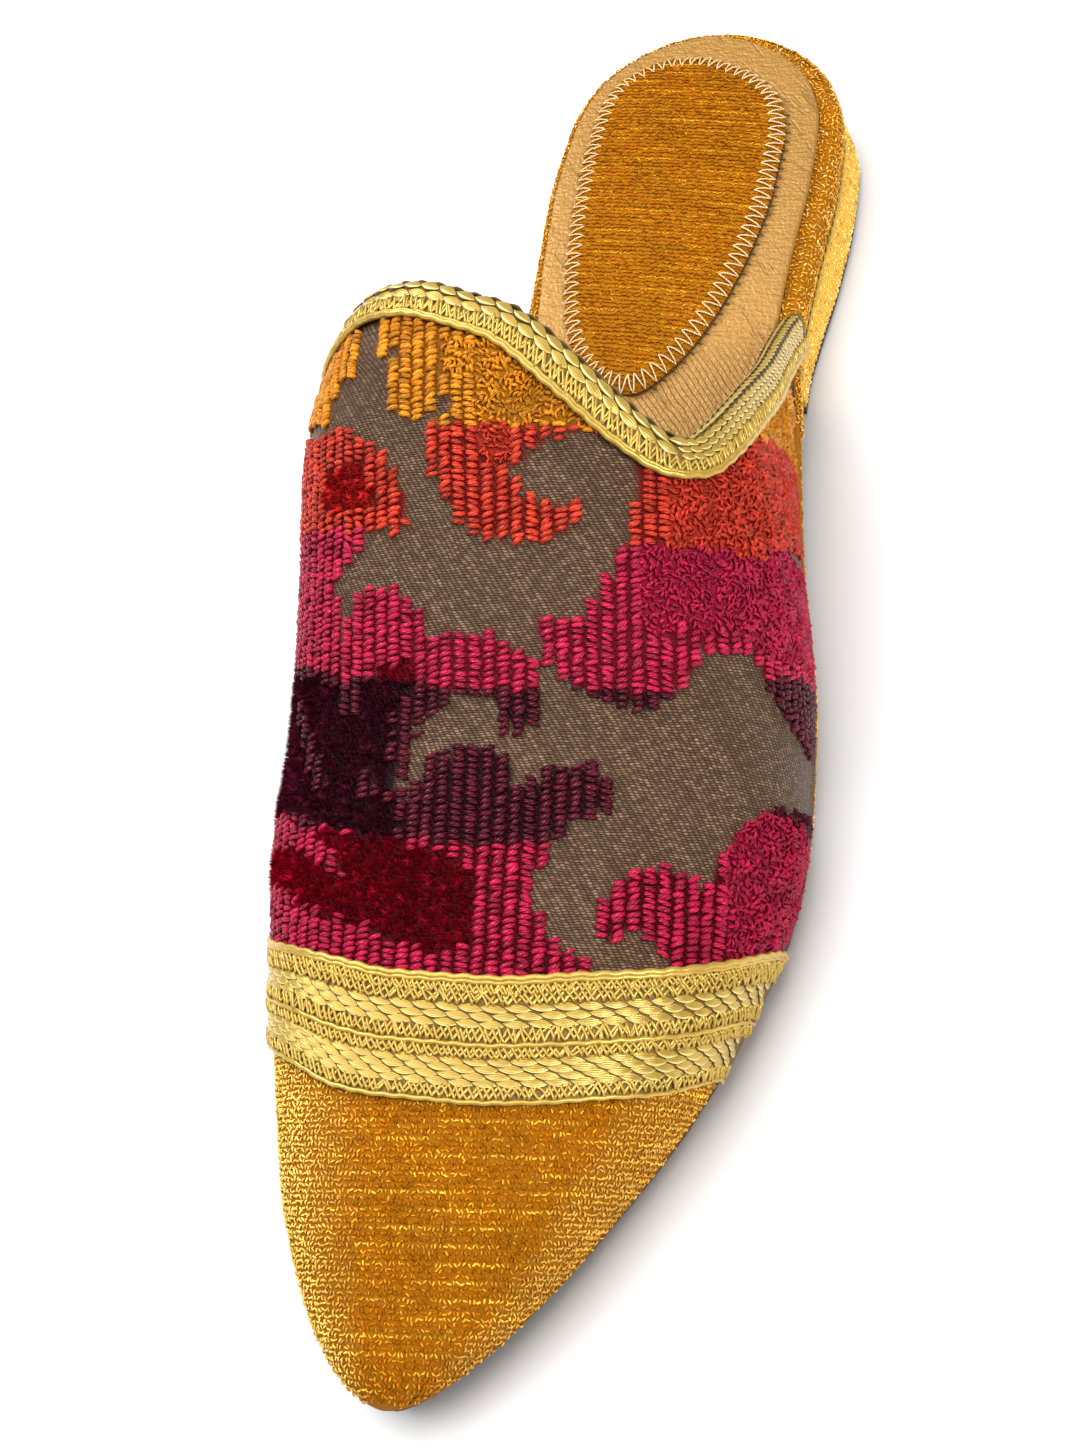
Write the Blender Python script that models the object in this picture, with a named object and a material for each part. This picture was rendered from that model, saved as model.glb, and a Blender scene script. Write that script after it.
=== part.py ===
"""Babouche: a pointed backless slipper for the left foot.

The frame has the toe towards -Y, the outer side of the foot towards +X and the floor at Z = 0.
Every piece is a loft through sections that are worked out from the tables below. A place on the
upper is given by d, the distance from the toe tip along the foot, and by an angle that runs over
the foot from the outer edge of the sole (0 degrees) to the inner edge (180 degrees).
"""

import bmesh
import bpy
import numpy as np

MM = 0.001

# Main sizes in millimetres
LENGTH = 268.0
WALL = 2.2
GAP = 0.3
MIDDLE_X = 3.18
MIDDLE_Y = 134.45

# Plan: distance from the toe tip, inner edge, outer edge, how far the sole lies under the upper,
# and how far its covered edge rolls out
PLAN_COLUMNS = ("d", "medial", "lateral", "tuck", "roll")
PLAN = (
    (0.0, 0.0, 0.0, 1.4, 0.1),
    (4.0, -7.8, 8.0, 1.4, 0.1),
    (12.0, -13.5, 14.9, 1.4, 0.1),
    (30.0, -20.7, 26.2, 1.4, 0.1),
    (60.0, -29.8, 39.8, 1.3, 0.1),
    (90.0, -35.6, 46.2, 0.8, 0.2),
    (120.0, -35.4, 43.2, 0.6, 0.4),
    (150.0, -30.2, 36.6, 0.6, 0.5),
    (175.0, -24.2, 32.0, 0.3, 0.8),
    (197.0, -20.8, 29.2, 0.2, 0.9),
    (212.0, -21.4, 29.6, 0.2, 0.9),
    (228.0, -22.4, 30.3, 0.2, 0.9),
    (243.0, -22.0, 29.6, 0.2, 0.9),
    (254.0, -19.4, 26.2, 0.2, 0.9),
    (261.0, -14.6, 20.6, 0.2, 0.9),
    (265.5, -8.2, 13.4, 0.2, 0.9),
    (268.0, 2.6, 2.6, 0.2, 0.9),
)

# Build-up of the bottom: height of the tread over the floor, then the thickness of each layer
BOTTOM_COLUMNS = ("d", "tread", "outsole", "midsole")
BOTTOM = (
    (0.0, 3.3, 2.4, 3.0),
    (12.0, 2.2, 2.4, 3.0),
    (30.0, 0.8, 2.4, 3.0),
    (48.0, 0.0, 2.4, 3.0),
    (108.0, 0.0, 2.4, 3.0),
    (130.0, 0.6, 2.2, 3.6),
    (150.0, 1.9, 1.9, 4.4),
    (170.0, 4.2, 1.6, 5.2),
    (190.0, 7.0, 1.4, 6.2),
    (210.0, 8.3, 1.3, 6.9),
    (228.0, 8.8, 1.3, 7.1),
    (268.0, 8.9, 1.3, 7.1),
)

# Sections of the upper: height over the sole, swell of the inner wall, shift of the ridge
SECTION_COLUMNS = ("d", "height", "swell", "ridge")
SECTION = (
    (0.0, 0.0, 0.0, 0.0),
    (4.0, 7.3, 0.0, 0.0),
    (12.0, 11.6, 0.0, -1.0),
    (30.0, 20.3, 0.0, -2.0),
    (60.0, 27.9, 0.0, -3.0),
    (90.0, 33.5, 0.3, -4.0),
    (120.0, 46.9, 3.3, -4.0),
    (150.0, 58.6, 10.2, -4.0),
    (190.0, 58.0, 7.5, -4.0),
    (268.0, 58.0, 7.5, -4.0),
)
ROUNDNESS = 0.8
SIDE_BULGE = 2.7
BULGE_RUN = 25.0

# Edge of the collar over the foot
COLLAR_COLUMNS = ("angle", "d")
COLLAR = (
    (0.0, 190.0),
    (12.0, 177.4),
    (20.0, 167.4),
    (30.0, 156.4),
    (42.0, 143.4),
    (48.0, 139.0),
    (54.0, 137.6),
    (60.0, 138.8),
    (72.0, 144.0),
    (88.0, 152.4),
    (104.0, 157.4),
    (121.0, 159.0),
    (136.0, 157.6),
    (150.0, 160.2),
    (160.0, 169.4),
    (170.0, 181.4),
    (180.0, 192.0),
)
BINDING_OUTSIDE = 5.2
BINDING_INSIDE = 5.0
BINDING_THICK = 1.2
BINDING_GAP = 0.45

# Edges of the gold band over the toe
BAND_COLUMNS = ("angle", "front", "back")
BAND = (
    (0.0, 56.0, 78.0),
    (12.0, 52.0, 73.5),
    (29.0, 47.0, 67.6),
    (44.0, 44.0, 63.4),
    (60.0, 41.0, 60.2),
    (78.0, 39.2, 57.4),
    (92.0, 39.0, 57.0),
    (104.0, 39.8, 58.2),
    (120.0, 43.0, 60.2),
    (147.0, 48.2, 64.6),
    (166.0, 53.0, 71.0),
    (180.0, 57.0, 77.0),
)
BAND_THICK = 0.8

# Sewn patch on the heel seat
PAD_COLUMNS = ("d", "medial", "lateral")
PAD = (
    (179.5, 1.6, 1.6),
    (183.0, -6.4, 7.6),
    (190.0, -11.0, 12.6),
    (200.0, -13.8, 16.8),
    (212.0, -15.3, 19.8),
    (224.0, -16.2, 21.2),
    (236.0, -16.6, 21.3),
    (246.0, -16.0, 19.2),
    (252.0, -14.0, 14.6),
    (256.5, -9.0, 7.4),
    (258.8, -1.0, -1.0),
)
PAD_THICK = 1.2

# Insole, rolled edge of the midsole, heel and its lift
INSOLE_INSET = 2.8
INSOLE_HEEL_MEDIAL_INSET = 1.5
INSOLE_THICK = 1.4
OUTSOLE_INSET = 0.7
HEEL_BREAST = 188.0
HEEL_TOP_INSET = 0.9
HEEL_FLARE = 2.0
LIFT_THICK = 1.5
LIFT_INSET = 0.5

# Fineness of the lofts
UPPER_ROWS = 30
UPPER_COLUMNS = 44
BAND_COLUMNS_ALONG = 40
SOLE_STATIONS = 44
HEEL_STATIONS = 20


# Smooth curves through the tables
def smooth_curve(x, y):
    """A curve through the points that never swings past them."""
    x, y = np.asarray(x, float), np.asarray(y, float)
    step = np.diff(x)
    rise = np.diff(y) / step
    slope = np.empty(len(x))
    slope[0], slope[-1] = rise[0], rise[-1]
    for k in range(1, len(x) - 1):
        before, after = rise[k - 1], rise[k]
        if before * after <= 0:
            slope[k] = 0.0
            continue
        near, far = 2 * step[k] + step[k - 1], step[k] + 2 * step[k - 1]
        slope[k] = (near + far) / (near / before + far / after)

    def value(at):
        at = np.clip(np.asarray(at, float), x[0], x[-1])
        k = np.clip(np.searchsorted(x, at) - 1, 0, len(x) - 2)
        t = (at - x[k]) / step[k]
        start = y[k] * (1 + 2 * t) + slope[k] * step[k] * t
        end = y[k + 1] * (3 - 2 * t) - slope[k + 1] * step[k] * (1 - t)
        return start * (1 - t) ** 2 + end * t**2

    return value


def rounded(d, first, last):
    """Turns a distance into an angle, so that an outline closes in a round end."""
    share = np.clip((np.asarray(d, float) - first) / (last - first), 0.0, 1.0)
    return np.arccos(1.0 - 2.0 * share)


def curves(table, names, round_ends):
    """One smooth curve for each column after the first, as functions of the first."""
    rows = np.array(table)
    first, last = rows[0, 0], rows[-1, 0]

    def along(values):
        return rounded(values, first, last) if round_ends else np.asarray(values, float)

    made = {}
    for k, name in enumerate(names[1:], 1):
        plain = smooth_curve(along(rows[:, 0]), rows[:, k])
        made[name] = lambda at, plain=plain: plain(along(at))
    return made


plan = curves(PLAN, PLAN_COLUMNS, True)
bottom = curves(BOTTOM, BOTTOM_COLUMNS, False)
shape = curves(SECTION, SECTION_COLUMNS, True)
collar = curves(COLLAR, COLLAR_COLUMNS, False)["d"]
band = curves(BAND, BAND_COLUMNS, False)
pad = curves(PAD, PAD_COLUMNS, True)


# Heights of the layers
def outsole_top(d):
    return bottom["tread"](d) + bottom["outsole"](d)


def midsole_top(d):
    return outsole_top(d) + GAP + bottom["midsole"](d)


def insole_top(d):
    return midsole_top(d) + GAP + INSOLE_THICK


# Surface of the upper
def drawn_in(size, depth):
    """A size less a depth, which fades out where the size is small, as in the toe."""
    return size - depth * (1.0 - np.exp(-size / (1.2 * depth + 1e-9)))


def upper_point(d, degrees, depth=0.0):
    """A point of the upper's outer face, or of its inner face at the wall's depth."""
    d, degrees = np.broadcast_arrays(np.asarray(d, float), np.asarray(degrees, float))
    angle = np.radians(degrees)
    across, up = np.cos(angle), np.sin(angle)
    outer = across >= 0
    side = np.where(outer, 1.0, -1.0)
    foot = np.where(outer, plan["lateral"](d), -plan["medial"](d))
    lift = np.clip(up / 0.5, 0.0, 1.0)
    swell = np.where(outer, 0.0, shape["swell"](d)) * lift**2 * (3 - 2 * lift)
    width = drawn_in(foot + swell, depth)
    height = drawn_in(shape["height"](d), depth)
    bulge = SIDE_BULGE * np.clip(d / BULGE_RUN, 0, 1) * np.abs(np.sin(2 * angle))
    x = side * (width * np.abs(across) ** ROUNDNESS + bulge * np.abs(across) ** 0.3)
    x = x + shape["ridge"](d) * up**2
    y = d + depth * np.exp(-d / 6.0)
    z = midsole_top(d) + GAP + height * np.abs(up) ** ROUNDNESS
    return np.stack([x, y, z], -1)


def upper_normal(d, degrees):
    """Outward direction of the upper's outer face."""
    along = upper_point(d + 0.5, degrees) - upper_point(d - 0.5, degrees)
    over = upper_point(d, degrees + 0.5) - upper_point(d, degrees - 0.5)
    normal = np.cross(along, over)
    return normal / np.linalg.norm(normal, axis=-1, keepdims=True)


# Lofts
def loft(name, rings, colour, roughness, metallic=0.0, caps=(True, True)):
    """A closed body through rings of points, each ring running out along one face and back."""
    rings = np.asarray(rings, float)
    count, size, _ = rings.shape
    faces = []
    for i in range(count - 1):
        for k in range(size):
            k2 = (k + 1) % size
            faces.append((i * size + k, i * size + k2, (i + 1) * size + k2, (i + 1) * size + k))
    for row, wanted in zip((0, count - 1), caps):
        for k in range(size // 2 - 1) if wanted else ():
            corners = (k, k + 1, size - 2 - k, size - 1 - k)
            faces.append(tuple(row * size + c for c in corners))
    mesh = bpy.data.meshes.new(name)
    mesh.from_pydata((rings.reshape(-1, 3) * MM).tolist(), [], faces)
    form = bmesh.new()
    form.from_mesh(mesh)
    bmesh.ops.remove_doubles(form, verts=form.verts, dist=1e-7)
    bmesh.ops.recalc_face_normals(form, faces=form.faces)
    if form.calc_volume(signed=True) < 0:
        bmesh.ops.reverse_faces(form, faces=form.faces)
    form.to_mesh(mesh)
    form.free()
    mesh.shade_smooth()
    mesh.set_sharp_from_angle(angle=np.radians(40))
    material = bpy.data.materials.new(name)
    material.use_nodes = True
    shader = material.node_tree.nodes["Principled BSDF"]
    shader.inputs["Base Color"].default_value = (*colour, 1.0)
    shader.inputs["Roughness"].default_value = roughness
    shader.inputs["Metallic"].default_value = metallic
    mesh.materials.append(material)
    piece = bpy.data.objects.new(name, mesh)
    parts.objects.link(piece)
    piece.parent = origin
    return piece


def slab(stations, low, high, edges, steps=1):
    """Rings of a layer that follows the sole, with straight or rolled edges."""
    t = np.linspace(0.0, 1.0, steps + 1)
    rings = []
    for d in stations:
        y, medial, lateral = edges(d)
        full = np.clip((lateral - medial) / 20.0, 0.0, 1.0)
        out = plan["roll"](d) * np.sin(np.pi * t)
        z = low(y) + (high(y) - low(y)) * t
        middle = (medial + lateral) / 2
        left = np.stack([medial - out * full, np.full_like(t, y), z], -1)
        right = np.stack([lateral + out * full, np.full_like(t, y), z], -1)
        centre = np.array([[middle, y, z[-1]]]), np.array([[middle, y, z[0]]])
        ring = np.concatenate([left, centre[0], right[::-1], centre[1]])
        rings.append(np.roll(ring, -1 - steps // 2, axis=0))
    return rings


def drawn_plan(d, medial_inset, lateral_inset):
    """The plan drawn in by a distance on each side, and by their mean at both ends."""
    medial, lateral = plan["medial"](d), plan["lateral"](d)
    middle, half = (medial + lateral) / 2, (lateral - medial) / 2
    end = (medial_inset + lateral_inset) / 2
    y = d + end * (1 - 2 * d / LENGTH)
    return y, middle - drawn_in(half, medial_inset), middle + drawn_in(half, lateral_inset)


def midsole_edges(d):
    return drawn_plan(d, plan["tuck"](d), plan["tuck"](d))


def outsole_edges(d):
    inset = plan["tuck"](d) + OUTSOLE_INSET
    return drawn_plan(d, inset, inset)


def insole_edges(d):
    share = np.clip((d - COLLAR[-1][1]) / 16.0, 0.0, 1.0)
    medial = INSOLE_INSET + (INSOLE_HEEL_MEDIAL_INSET - INSOLE_INSET) * share
    return drawn_plan(d, medial, INSOLE_INSET)


def pad_edges(d):
    return float(d), pad["medial"](d), pad["lateral"](d)


def round_stations(first, last, count):
    """Distances that crowd together towards both round ends."""
    return first + (last - first) * (1 - np.cos(np.linspace(0, np.pi, count))) / 2


# Empty scene with one collection and one origin at the middle of the tread
for old in list(bpy.data.objects):
    bpy.data.objects.remove(old, do_unlink=True)
parts = bpy.data.collections.new("babouche")
bpy.context.scene.collection.children.link(parts)
origin = bpy.data.objects.new("babouche_origin", None)
origin.location = (-MIDDLE_X * MM, -MIDDLE_Y * MM, 0.0)
parts.objects.link(origin)

# Layers of the bottom
along_sole = round_stations(0.0, LENGTH, SOLE_STATIONS)
loft(
    "outsole",
    slab(along_sole, bottom["tread"], outsole_top, outsole_edges),
    colour=(0.05, 0.032, 0.022),
    roughness=0.7,
    caps=(False, False),
)
loft(
    "midsole",
    slab(along_sole, lambda d: outsole_top(d) + GAP, midsole_top, midsole_edges, 5),
    colour=(0.52, 0.24, 0.025),
    roughness=0.9,
    caps=(False, False),
)
loft(
    "insole",
    slab(along_sole, lambda d: midsole_top(d) + GAP, insole_top, insole_edges),
    colour=(0.56, 0.36, 0.15),
    roughness=0.4,
    metallic=0.5,
    caps=(False, False),
)
loft(
    "heel_pad",
    slab(
        round_stations(PAD[0][0], PAD[-1][0], HEEL_STATIONS),
        lambda d: insole_top(d) + GAP,
        lambda d: insole_top(d) + GAP + PAD_THICK,
        pad_edges,
    ),
    colour=(0.45, 0.19, 0.015),
    roughness=0.95,
    caps=(False, False),
)


# Heel, flared towards the floor, and its lift
def heel_rings(levels):
    """Rings from the breast to the back; a level is a height, or a function of d, with an outset."""
    rings = []
    for d in HEEL_BREAST + (LENGTH - HEEL_BREAST) * np.sin(np.linspace(0, np.pi / 2, HEEL_STATIONS)):
        medial, lateral = plan["medial"](d), plan["lateral"](d)
        middle, half = (medial + lateral) / 2, (lateral - medial) / 2
        left, right = [], []
        for height, outset in levels:
            reach = half * (1 + outset / 27.0)
            y = HEEL_BREAST + (d - HEEL_BREAST) * (1 + outset * 0.5 / 88.0)
            z = height(d) if callable(height) else height
            left.append((middle - reach, y, z))
            right.append((middle + reach, y, z))
        rings.append(left + right[::-1])
    return rings


heel_foot = LIFT_THICK + GAP
loft(
    "heel",
    heel_rings(
        (
            (heel_foot, HEEL_FLARE),
            (lambda d: heel_foot * 0.5 + (bottom["tread"](d) - GAP) * 0.5, HEEL_FLARE * 0.7),
            (lambda d: bottom["tread"](d) - GAP, -HEEL_TOP_INSET),
        )
    ),
    colour=(0.62, 0.36, 0.06),
    roughness=0.9,
    caps=(True, False),
)
loft(
    "heel_lift",
    heel_rings(((0.0, HEEL_FLARE - LIFT_INSET), (LIFT_THICK, HEEL_FLARE - LIFT_INSET))),
    colour=(0.03, 0.022, 0.018),
    roughness=0.7,
    caps=(True, False),
)

# Upper: outer face out over the foot, inner face back, from the toe to the collar
over = np.linspace(0.0, 180.0, UPPER_COLUMNS + 1)
upper_rings = []
for share in np.linspace(0.0, 1.0, UPPER_ROWS + 1) ** 1.7:
    outside = upper_point(collar(over) * share, over)
    inside = upper_point(collar(over) * share, over, WALL)
    upper_rings.append(np.concatenate([outside, inside[::-1]]))
loft("upper", upper_rings, colour=(0.22, 0.02, 0.04), roughness=0.9, caps=(False, True))

# Gold band: a strip of the upper's own surface, standing proud of it
band_rings = []
for degrees in np.linspace(3.0, 177.0, BAND_COLUMNS_ALONG + 1):
    d = np.linspace(band["front"](degrees), band["back"](degrees), 5)
    face, normal = upper_point(d, degrees), upper_normal(d, degrees)
    crown = BAND_THICK * np.array([0.75, 1.0, 0.9, 1.0, 0.75])[:, None]
    band_rings.append(np.concatenate([face + normal * (GAP + crown), (face + normal * GAP)[::-1]]))
loft("toe_band", band_rings, colour=(0.6, 0.4, 0.1), roughness=0.4, metallic=0.7)


# Binding: folded over the edge of the collar, with a leg on each face of the wall
def binding_ring(degrees):
    d = float(collar(degrees))
    edge = upper_point(d, degrees)
    normal = upper_normal(d, degrees)
    low, high = max(degrees - 0.5, 0.0), min(degrees + 0.5, 180.0)
    run = upper_point(collar(high), high) - upper_point(collar(low), low)
    away = np.cross(run, normal)
    away /= np.linalg.norm(away)
    along = upper_point(d + 0.5, degrees) - upper_point(d - 0.5, degrees)
    around = upper_point(d, degrees + 0.5) - upper_point(d, degrees - 0.5)

    def back_from_edge(reach, depth, lift):
        """A place on a face of the wall, a distance back from the edge and off the face."""
        step = np.linalg.lstsq(np.stack([along, around], -1), -away * reach, rcond=None)[0]
        d2, degrees2 = d + step[0], np.clip(degrees + step[1], 2.0, 178.0)
        return upper_point(d2, degrees2, depth) + lift * upper_normal(d2, degrees2)

    out, thick = BINDING_GAP, BINDING_GAP + BINDING_THICK
    wall = upper_point(d, degrees, WALL) - edge
    over_edge = [
        back_from_edge(BINDING_OUTSIDE, 0.0, thick),
        back_from_edge(BINDING_OUTSIDE / 2, 0.0, thick),
        edge + normal * thick + away * out,
        edge + normal * thick * 0.4 + away * thick,
        edge + wall - normal * thick * 0.4 + away * thick,
        edge + wall - normal * thick + away * out,
        back_from_edge(BINDING_INSIDE, WALL, -thick),
    ]
    under_edge = [
        back_from_edge(BINDING_OUTSIDE, 0.0, out),
        back_from_edge(BINDING_OUTSIDE / 2, 0.0, out),
        edge + normal * out + away * out * 0.9,
        edge + normal * out + away * out,
        edge + wall - normal * out + away * out,
        edge + wall - normal * out + away * out * 0.9,
        back_from_edge(BINDING_INSIDE, WALL, -out),
    ]
    return over_edge + under_edge[::-1]


binding_rings = [binding_ring(float(a)) for a in np.linspace(3.0, 177.0, 59)]
loft("collar_binding", binding_rings, colour=(0.6, 0.4, 0.1), roughness=0.4, metallic=0.7)
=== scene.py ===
# %% [markdown]
# # A babouche in figured velvet
#
# This lesson dresses a packed slipper, a pointed and backless shoe for the left foot. The frame
# comes first: it brings in the plain solids, and every piece below is made in the same place and
# in the same metres.

import bmesh
import bpy
import numpy as np
from mathutils import Matrix
from mathutils.kdtree import KDTree


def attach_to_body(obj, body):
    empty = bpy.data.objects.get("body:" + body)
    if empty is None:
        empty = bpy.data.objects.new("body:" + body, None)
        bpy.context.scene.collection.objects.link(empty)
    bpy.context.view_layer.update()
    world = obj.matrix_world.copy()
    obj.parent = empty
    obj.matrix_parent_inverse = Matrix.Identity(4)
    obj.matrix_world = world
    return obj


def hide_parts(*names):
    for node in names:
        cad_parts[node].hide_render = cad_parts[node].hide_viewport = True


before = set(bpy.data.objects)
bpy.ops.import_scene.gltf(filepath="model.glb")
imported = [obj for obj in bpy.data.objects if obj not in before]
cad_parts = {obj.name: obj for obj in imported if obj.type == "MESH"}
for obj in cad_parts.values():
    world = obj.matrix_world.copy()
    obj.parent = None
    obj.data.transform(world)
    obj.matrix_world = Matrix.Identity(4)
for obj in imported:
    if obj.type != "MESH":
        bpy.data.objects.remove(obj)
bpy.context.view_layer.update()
MM = 0.001
print("nodes", sorted(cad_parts))

# %% [markdown]
# ## Camera, floor and light
#
# The camera looks down on the toe from the outer side of the foot, and is rolled so that the toe
# points straight down in the picture. Its axes are written as a matrix, because two angles and a
# roll are easier to check that way than as Euler angles. A large key lamp above the inner side
# gives the faint shadow, a fill lamp opens up the outer side, and a small lamp rakes over the pile
# from behind. A fourth lamp keeps the wide floor pale, and the world fills the rest.

# %% Camera, floor and light
CAMERA_AT, LENS = (0.11808, -0.20685, 0.31575), 57.22
AZIMUTH, ELEVATION, ROLL = np.radians((33.25, 53.91, -25.02))
HORIZON_STRENGTH, ZENITH_STRENGTH = 0.14, 0.26
FLOOR_SIZE, FLOOR_DROP = 12.0, 0.0003


def axes_matrix(x_axis, y_axis, z_axis, at):
    """Three axes and a place as one matrix."""
    return Matrix([[x_axis[k], y_axis[k], z_axis[k], at[k]] for k in range(3)] + [[0, 0, 0, 1]])


def soft_lamp(name, at, aim, size, power):
    """A square area lamp that looks at a point."""
    lamp = bpy.data.objects.new(name, bpy.data.lights.new(name, "AREA"))
    lamp.data.size = size
    lamp.data.energy = power
    away = np.array(at) - np.array(aim)
    away /= np.linalg.norm(away)
    side = np.cross((0, 0, 1), away)
    side /= np.linalg.norm(side)
    lamp.matrix_world = axes_matrix(side, np.cross(away, side), away, at)
    bpy.context.scene.collection.objects.link(lamp)
    return lamp


level_share = np.cos(ELEVATION)
back = np.array([np.sin(AZIMUTH) * level_share, -np.cos(AZIMUTH) * level_share, np.sin(ELEVATION)])
level = np.cross(-back, (0, 0, 1))
level /= np.linalg.norm(level)
upright = np.cross(level, -back)
right = level * np.cos(ROLL) + upright * np.sin(ROLL)
up = upright * np.cos(ROLL) - level * np.sin(ROLL)
camera = bpy.data.objects.new("camera", bpy.data.cameras.new("camera"))
camera.matrix_world = axes_matrix(right, up, back, CAMERA_AT)
camera.data.lens = LENS
camera.data.clip_start = 0.01
bpy.context.scene.collection.objects.link(camera)
bpy.context.scene.camera = camera
bpy.context.scene.view_settings.view_transform = "Standard"

soft_lamp("key_lamp", (-0.34, 0.05, 0.94), (0, 0, 0.02), 1.4, 14.0)
fill_lamp = soft_lamp("fill_lamp", (0.55, -0.20, 0.60), (0, 0, 0.02), 0.30, 5.6)
rake_lamp = soft_lamp("rake_lamp", (-0.50, 0.35, 0.50), (0, 0, 0.03), 0.20, 2.6)
floor_lamp = soft_lamp("floor_lamp", (-0.10, 0.03, 1.20), (0, 0, 0), 1.2, 9.0)
world = bpy.data.worlds.new("studio")
bpy.context.scene.world = world
world.use_nodes = True
sky = world.node_tree.nodes
toward = sky.new("ShaderNodeSeparateXYZ")
height = sky.new("ShaderNodeMapRange")
for socket, value in zip(height.inputs[1:5], (0.0, 0.9, HORIZON_STRENGTH, ZENITH_STRENGTH)):
    socket.default_value = value
world.node_tree.links.new(sky.new("ShaderNodeTexCoord").outputs["Generated"], toward.inputs[0])
world.node_tree.links.new(toward.outputs["Z"], height.inputs[0])
world.node_tree.links.new(height.outputs[0], sky["Background"].inputs["Strength"])
sky["Background"].inputs["Color"].default_value = (1, 1, 1, 1)

bpy.ops.mesh.primitive_plane_add(size=FLOOR_SIZE, location=(0, 0, -FLOOR_DROP))
floor = bpy.context.object
floor.name = "floor"
print("camera looks along", np.round(-back, 3))

# %% [markdown]
# ## A short way to write materials
#
# Every finish below is a node tree round one Principled shader. The small class keeps the wiring
# readable: add() makes a node and fills its sockets, and a socket takes either a number or the
# output of another node. Many finishes are one tone that wanders into another, with a bump of the
# same grain, so mottled() makes those in one go.


# %% Helper for materials
class Finish:
    def __init__(self, name, **settings):
        self.material = bpy.data.materials.new(name)
        self.material.use_nodes = True
        self.tree = self.material.node_tree
        self.shader = self.tree.nodes["Principled BSDF"]
        for socket, value in settings.items():
            self.put(self.shader.inputs[socket.replace("_", " ")], value)

    def put(self, socket, value):
        if isinstance(value, bpy.types.NodeSocket):
            self.tree.links.new(value, socket)
        elif socket.type == "RGBA" and len(value) == 3:
            socket.default_value = (*value, 1.0)
        else:
            socket.default_value = value

    def add(self, kind, inputs=None, **settings):
        node = self.tree.nodes.new("ShaderNode" + kind)
        for key, value in settings.items():
            setattr(node, key, value)
        for socket, value in (inputs or {}).items():
            self.put(node.inputs[socket], value)
        return node

    def math(self, operation, *values):
        return self.add("Math", dict(enumerate(values)), operation=operation).outputs[0]

    def mix(self, share, first, second, blend="MIX"):
        node = self.add("Mix", {0: share, 6: first, 7: second}, data_type="RGBA", blend_type=blend)
        return node.outputs[2]

    def ramp(self, value, low, high):
        """0 below low, 1 above high, smooth between them."""
        node = self.add("MapRange", {0: value, 1: low, 2: high}, interpolation_type="SMOOTHSTEP")
        return node.outputs[0]

    def times_plus(self, first, by, second, second_by):
        """first * by + second * second_by"""
        return self.math("ADD", self.math("MULTIPLY", first, by), self.math("MULTIPLY", second, second_by))

    def noise(self, vector, scale, detail=2.0):
        return self.add("TexNoise", {"Vector": vector, "Scale": scale, "Detail": detail}).outputs[0]

    def chance(self, *values):
        """A random number for each set of values."""
        vector = self.add("CombineXYZ", dict(enumerate(values))).outputs[0]
        return self.add("TexWhiteNoise", {"Vector": vector}).outputs[0]

    def stretched(self, vector, scale):
        return self.add("Mapping", {"Vector": vector, "Scale": scale}).outputs[0]

    def colour(self, value):
        self.put(self.shader.inputs["Base Color"], value)

    def bump(self, height, strength, distance):
        node = self.add("Bump", {"Height": height, "Strength": strength, "Distance": distance})
        self.put(self.shader.inputs["Normal"], node.outputs[0])


def mottled(name, scale, detail, dark, light, bump=None, **settings):
    """A finish that wanders between two tones, with a bump of the same grain if asked."""
    finish = Finish(name, **settings)
    grain = finish.noise(finish.add("TexCoord").outputs["Object"], scale, detail)
    finish.colour(finish.mix(grain, dark, light))
    if bump:
        finish.bump(grain, *bump)
    return finish


paper = mottled(
    "pale_floor", 3.0, 2.0, (0.93, 0.93, 0.93), (0.95, 0.95, 0.95),
    Roughness=0.9, Emission_Color=(1, 1, 1), Emission_Strength=0.09,
)
floor.data.materials.append(paper.material)

# %% [markdown]
# ## The shape of the shoe
#
# The upper is drawn over a last, the wooden foot that a shoemaker works on. A place on it is given
# by d, the distance from the toe tip, and by an angle over the foot, from the outer edge of the
# sole (0 degrees) over the instep to the inner edge (180). Tables give the outline, the layers of
# the bottom and the height of each section, and smooth curves run through them. These are the
# same tables as the solids have, so that all that follows lies on them.

# %% Tables of the shoe, in millimetres
MIDDLE = np.array([3.18, 134.45, 0.0])
LENGTH, WALL, GAP, INSOLE_THICK = 268.0, 2.2, 0.3, 1.4
ROUNDNESS, SIDE_BULGE, BULGE_RUN = 0.8, 2.7, 25.0
LAP_PER_DEGREE = 1.2
PLAN = (
    (0, 0, 0, 1.4, 0.1), (4, -7.8, 8, 1.4, 0.1), (12, -13.5, 14.9, 1.4, 0.1),
    (30, -20.7, 26.2, 1.4, 0.1), (60, -29.8, 39.8, 1.3, 0.1), (90, -35.6, 46.2, 0.8, 0.2),
    (120, -35.4, 43.2, 0.6, 0.4), (150, -30.2, 36.6, 0.6, 0.5), (175, -24.2, 32, 0.3, 0.8),
    (197, -20.8, 29.2, 0.2, 0.9), (212, -21.4, 29.6, 0.2, 0.9), (228, -22.4, 30.3, 0.2, 0.9),
    (243, -22, 29.6, 0.2, 0.9), (254, -19.4, 26.2, 0.2, 0.9), (261, -14.6, 20.6, 0.2, 0.9),
    (265.5, -8.2, 13.4, 0.2, 0.9), (268, 2.6, 2.6, 0.2, 0.9),
)
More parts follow.
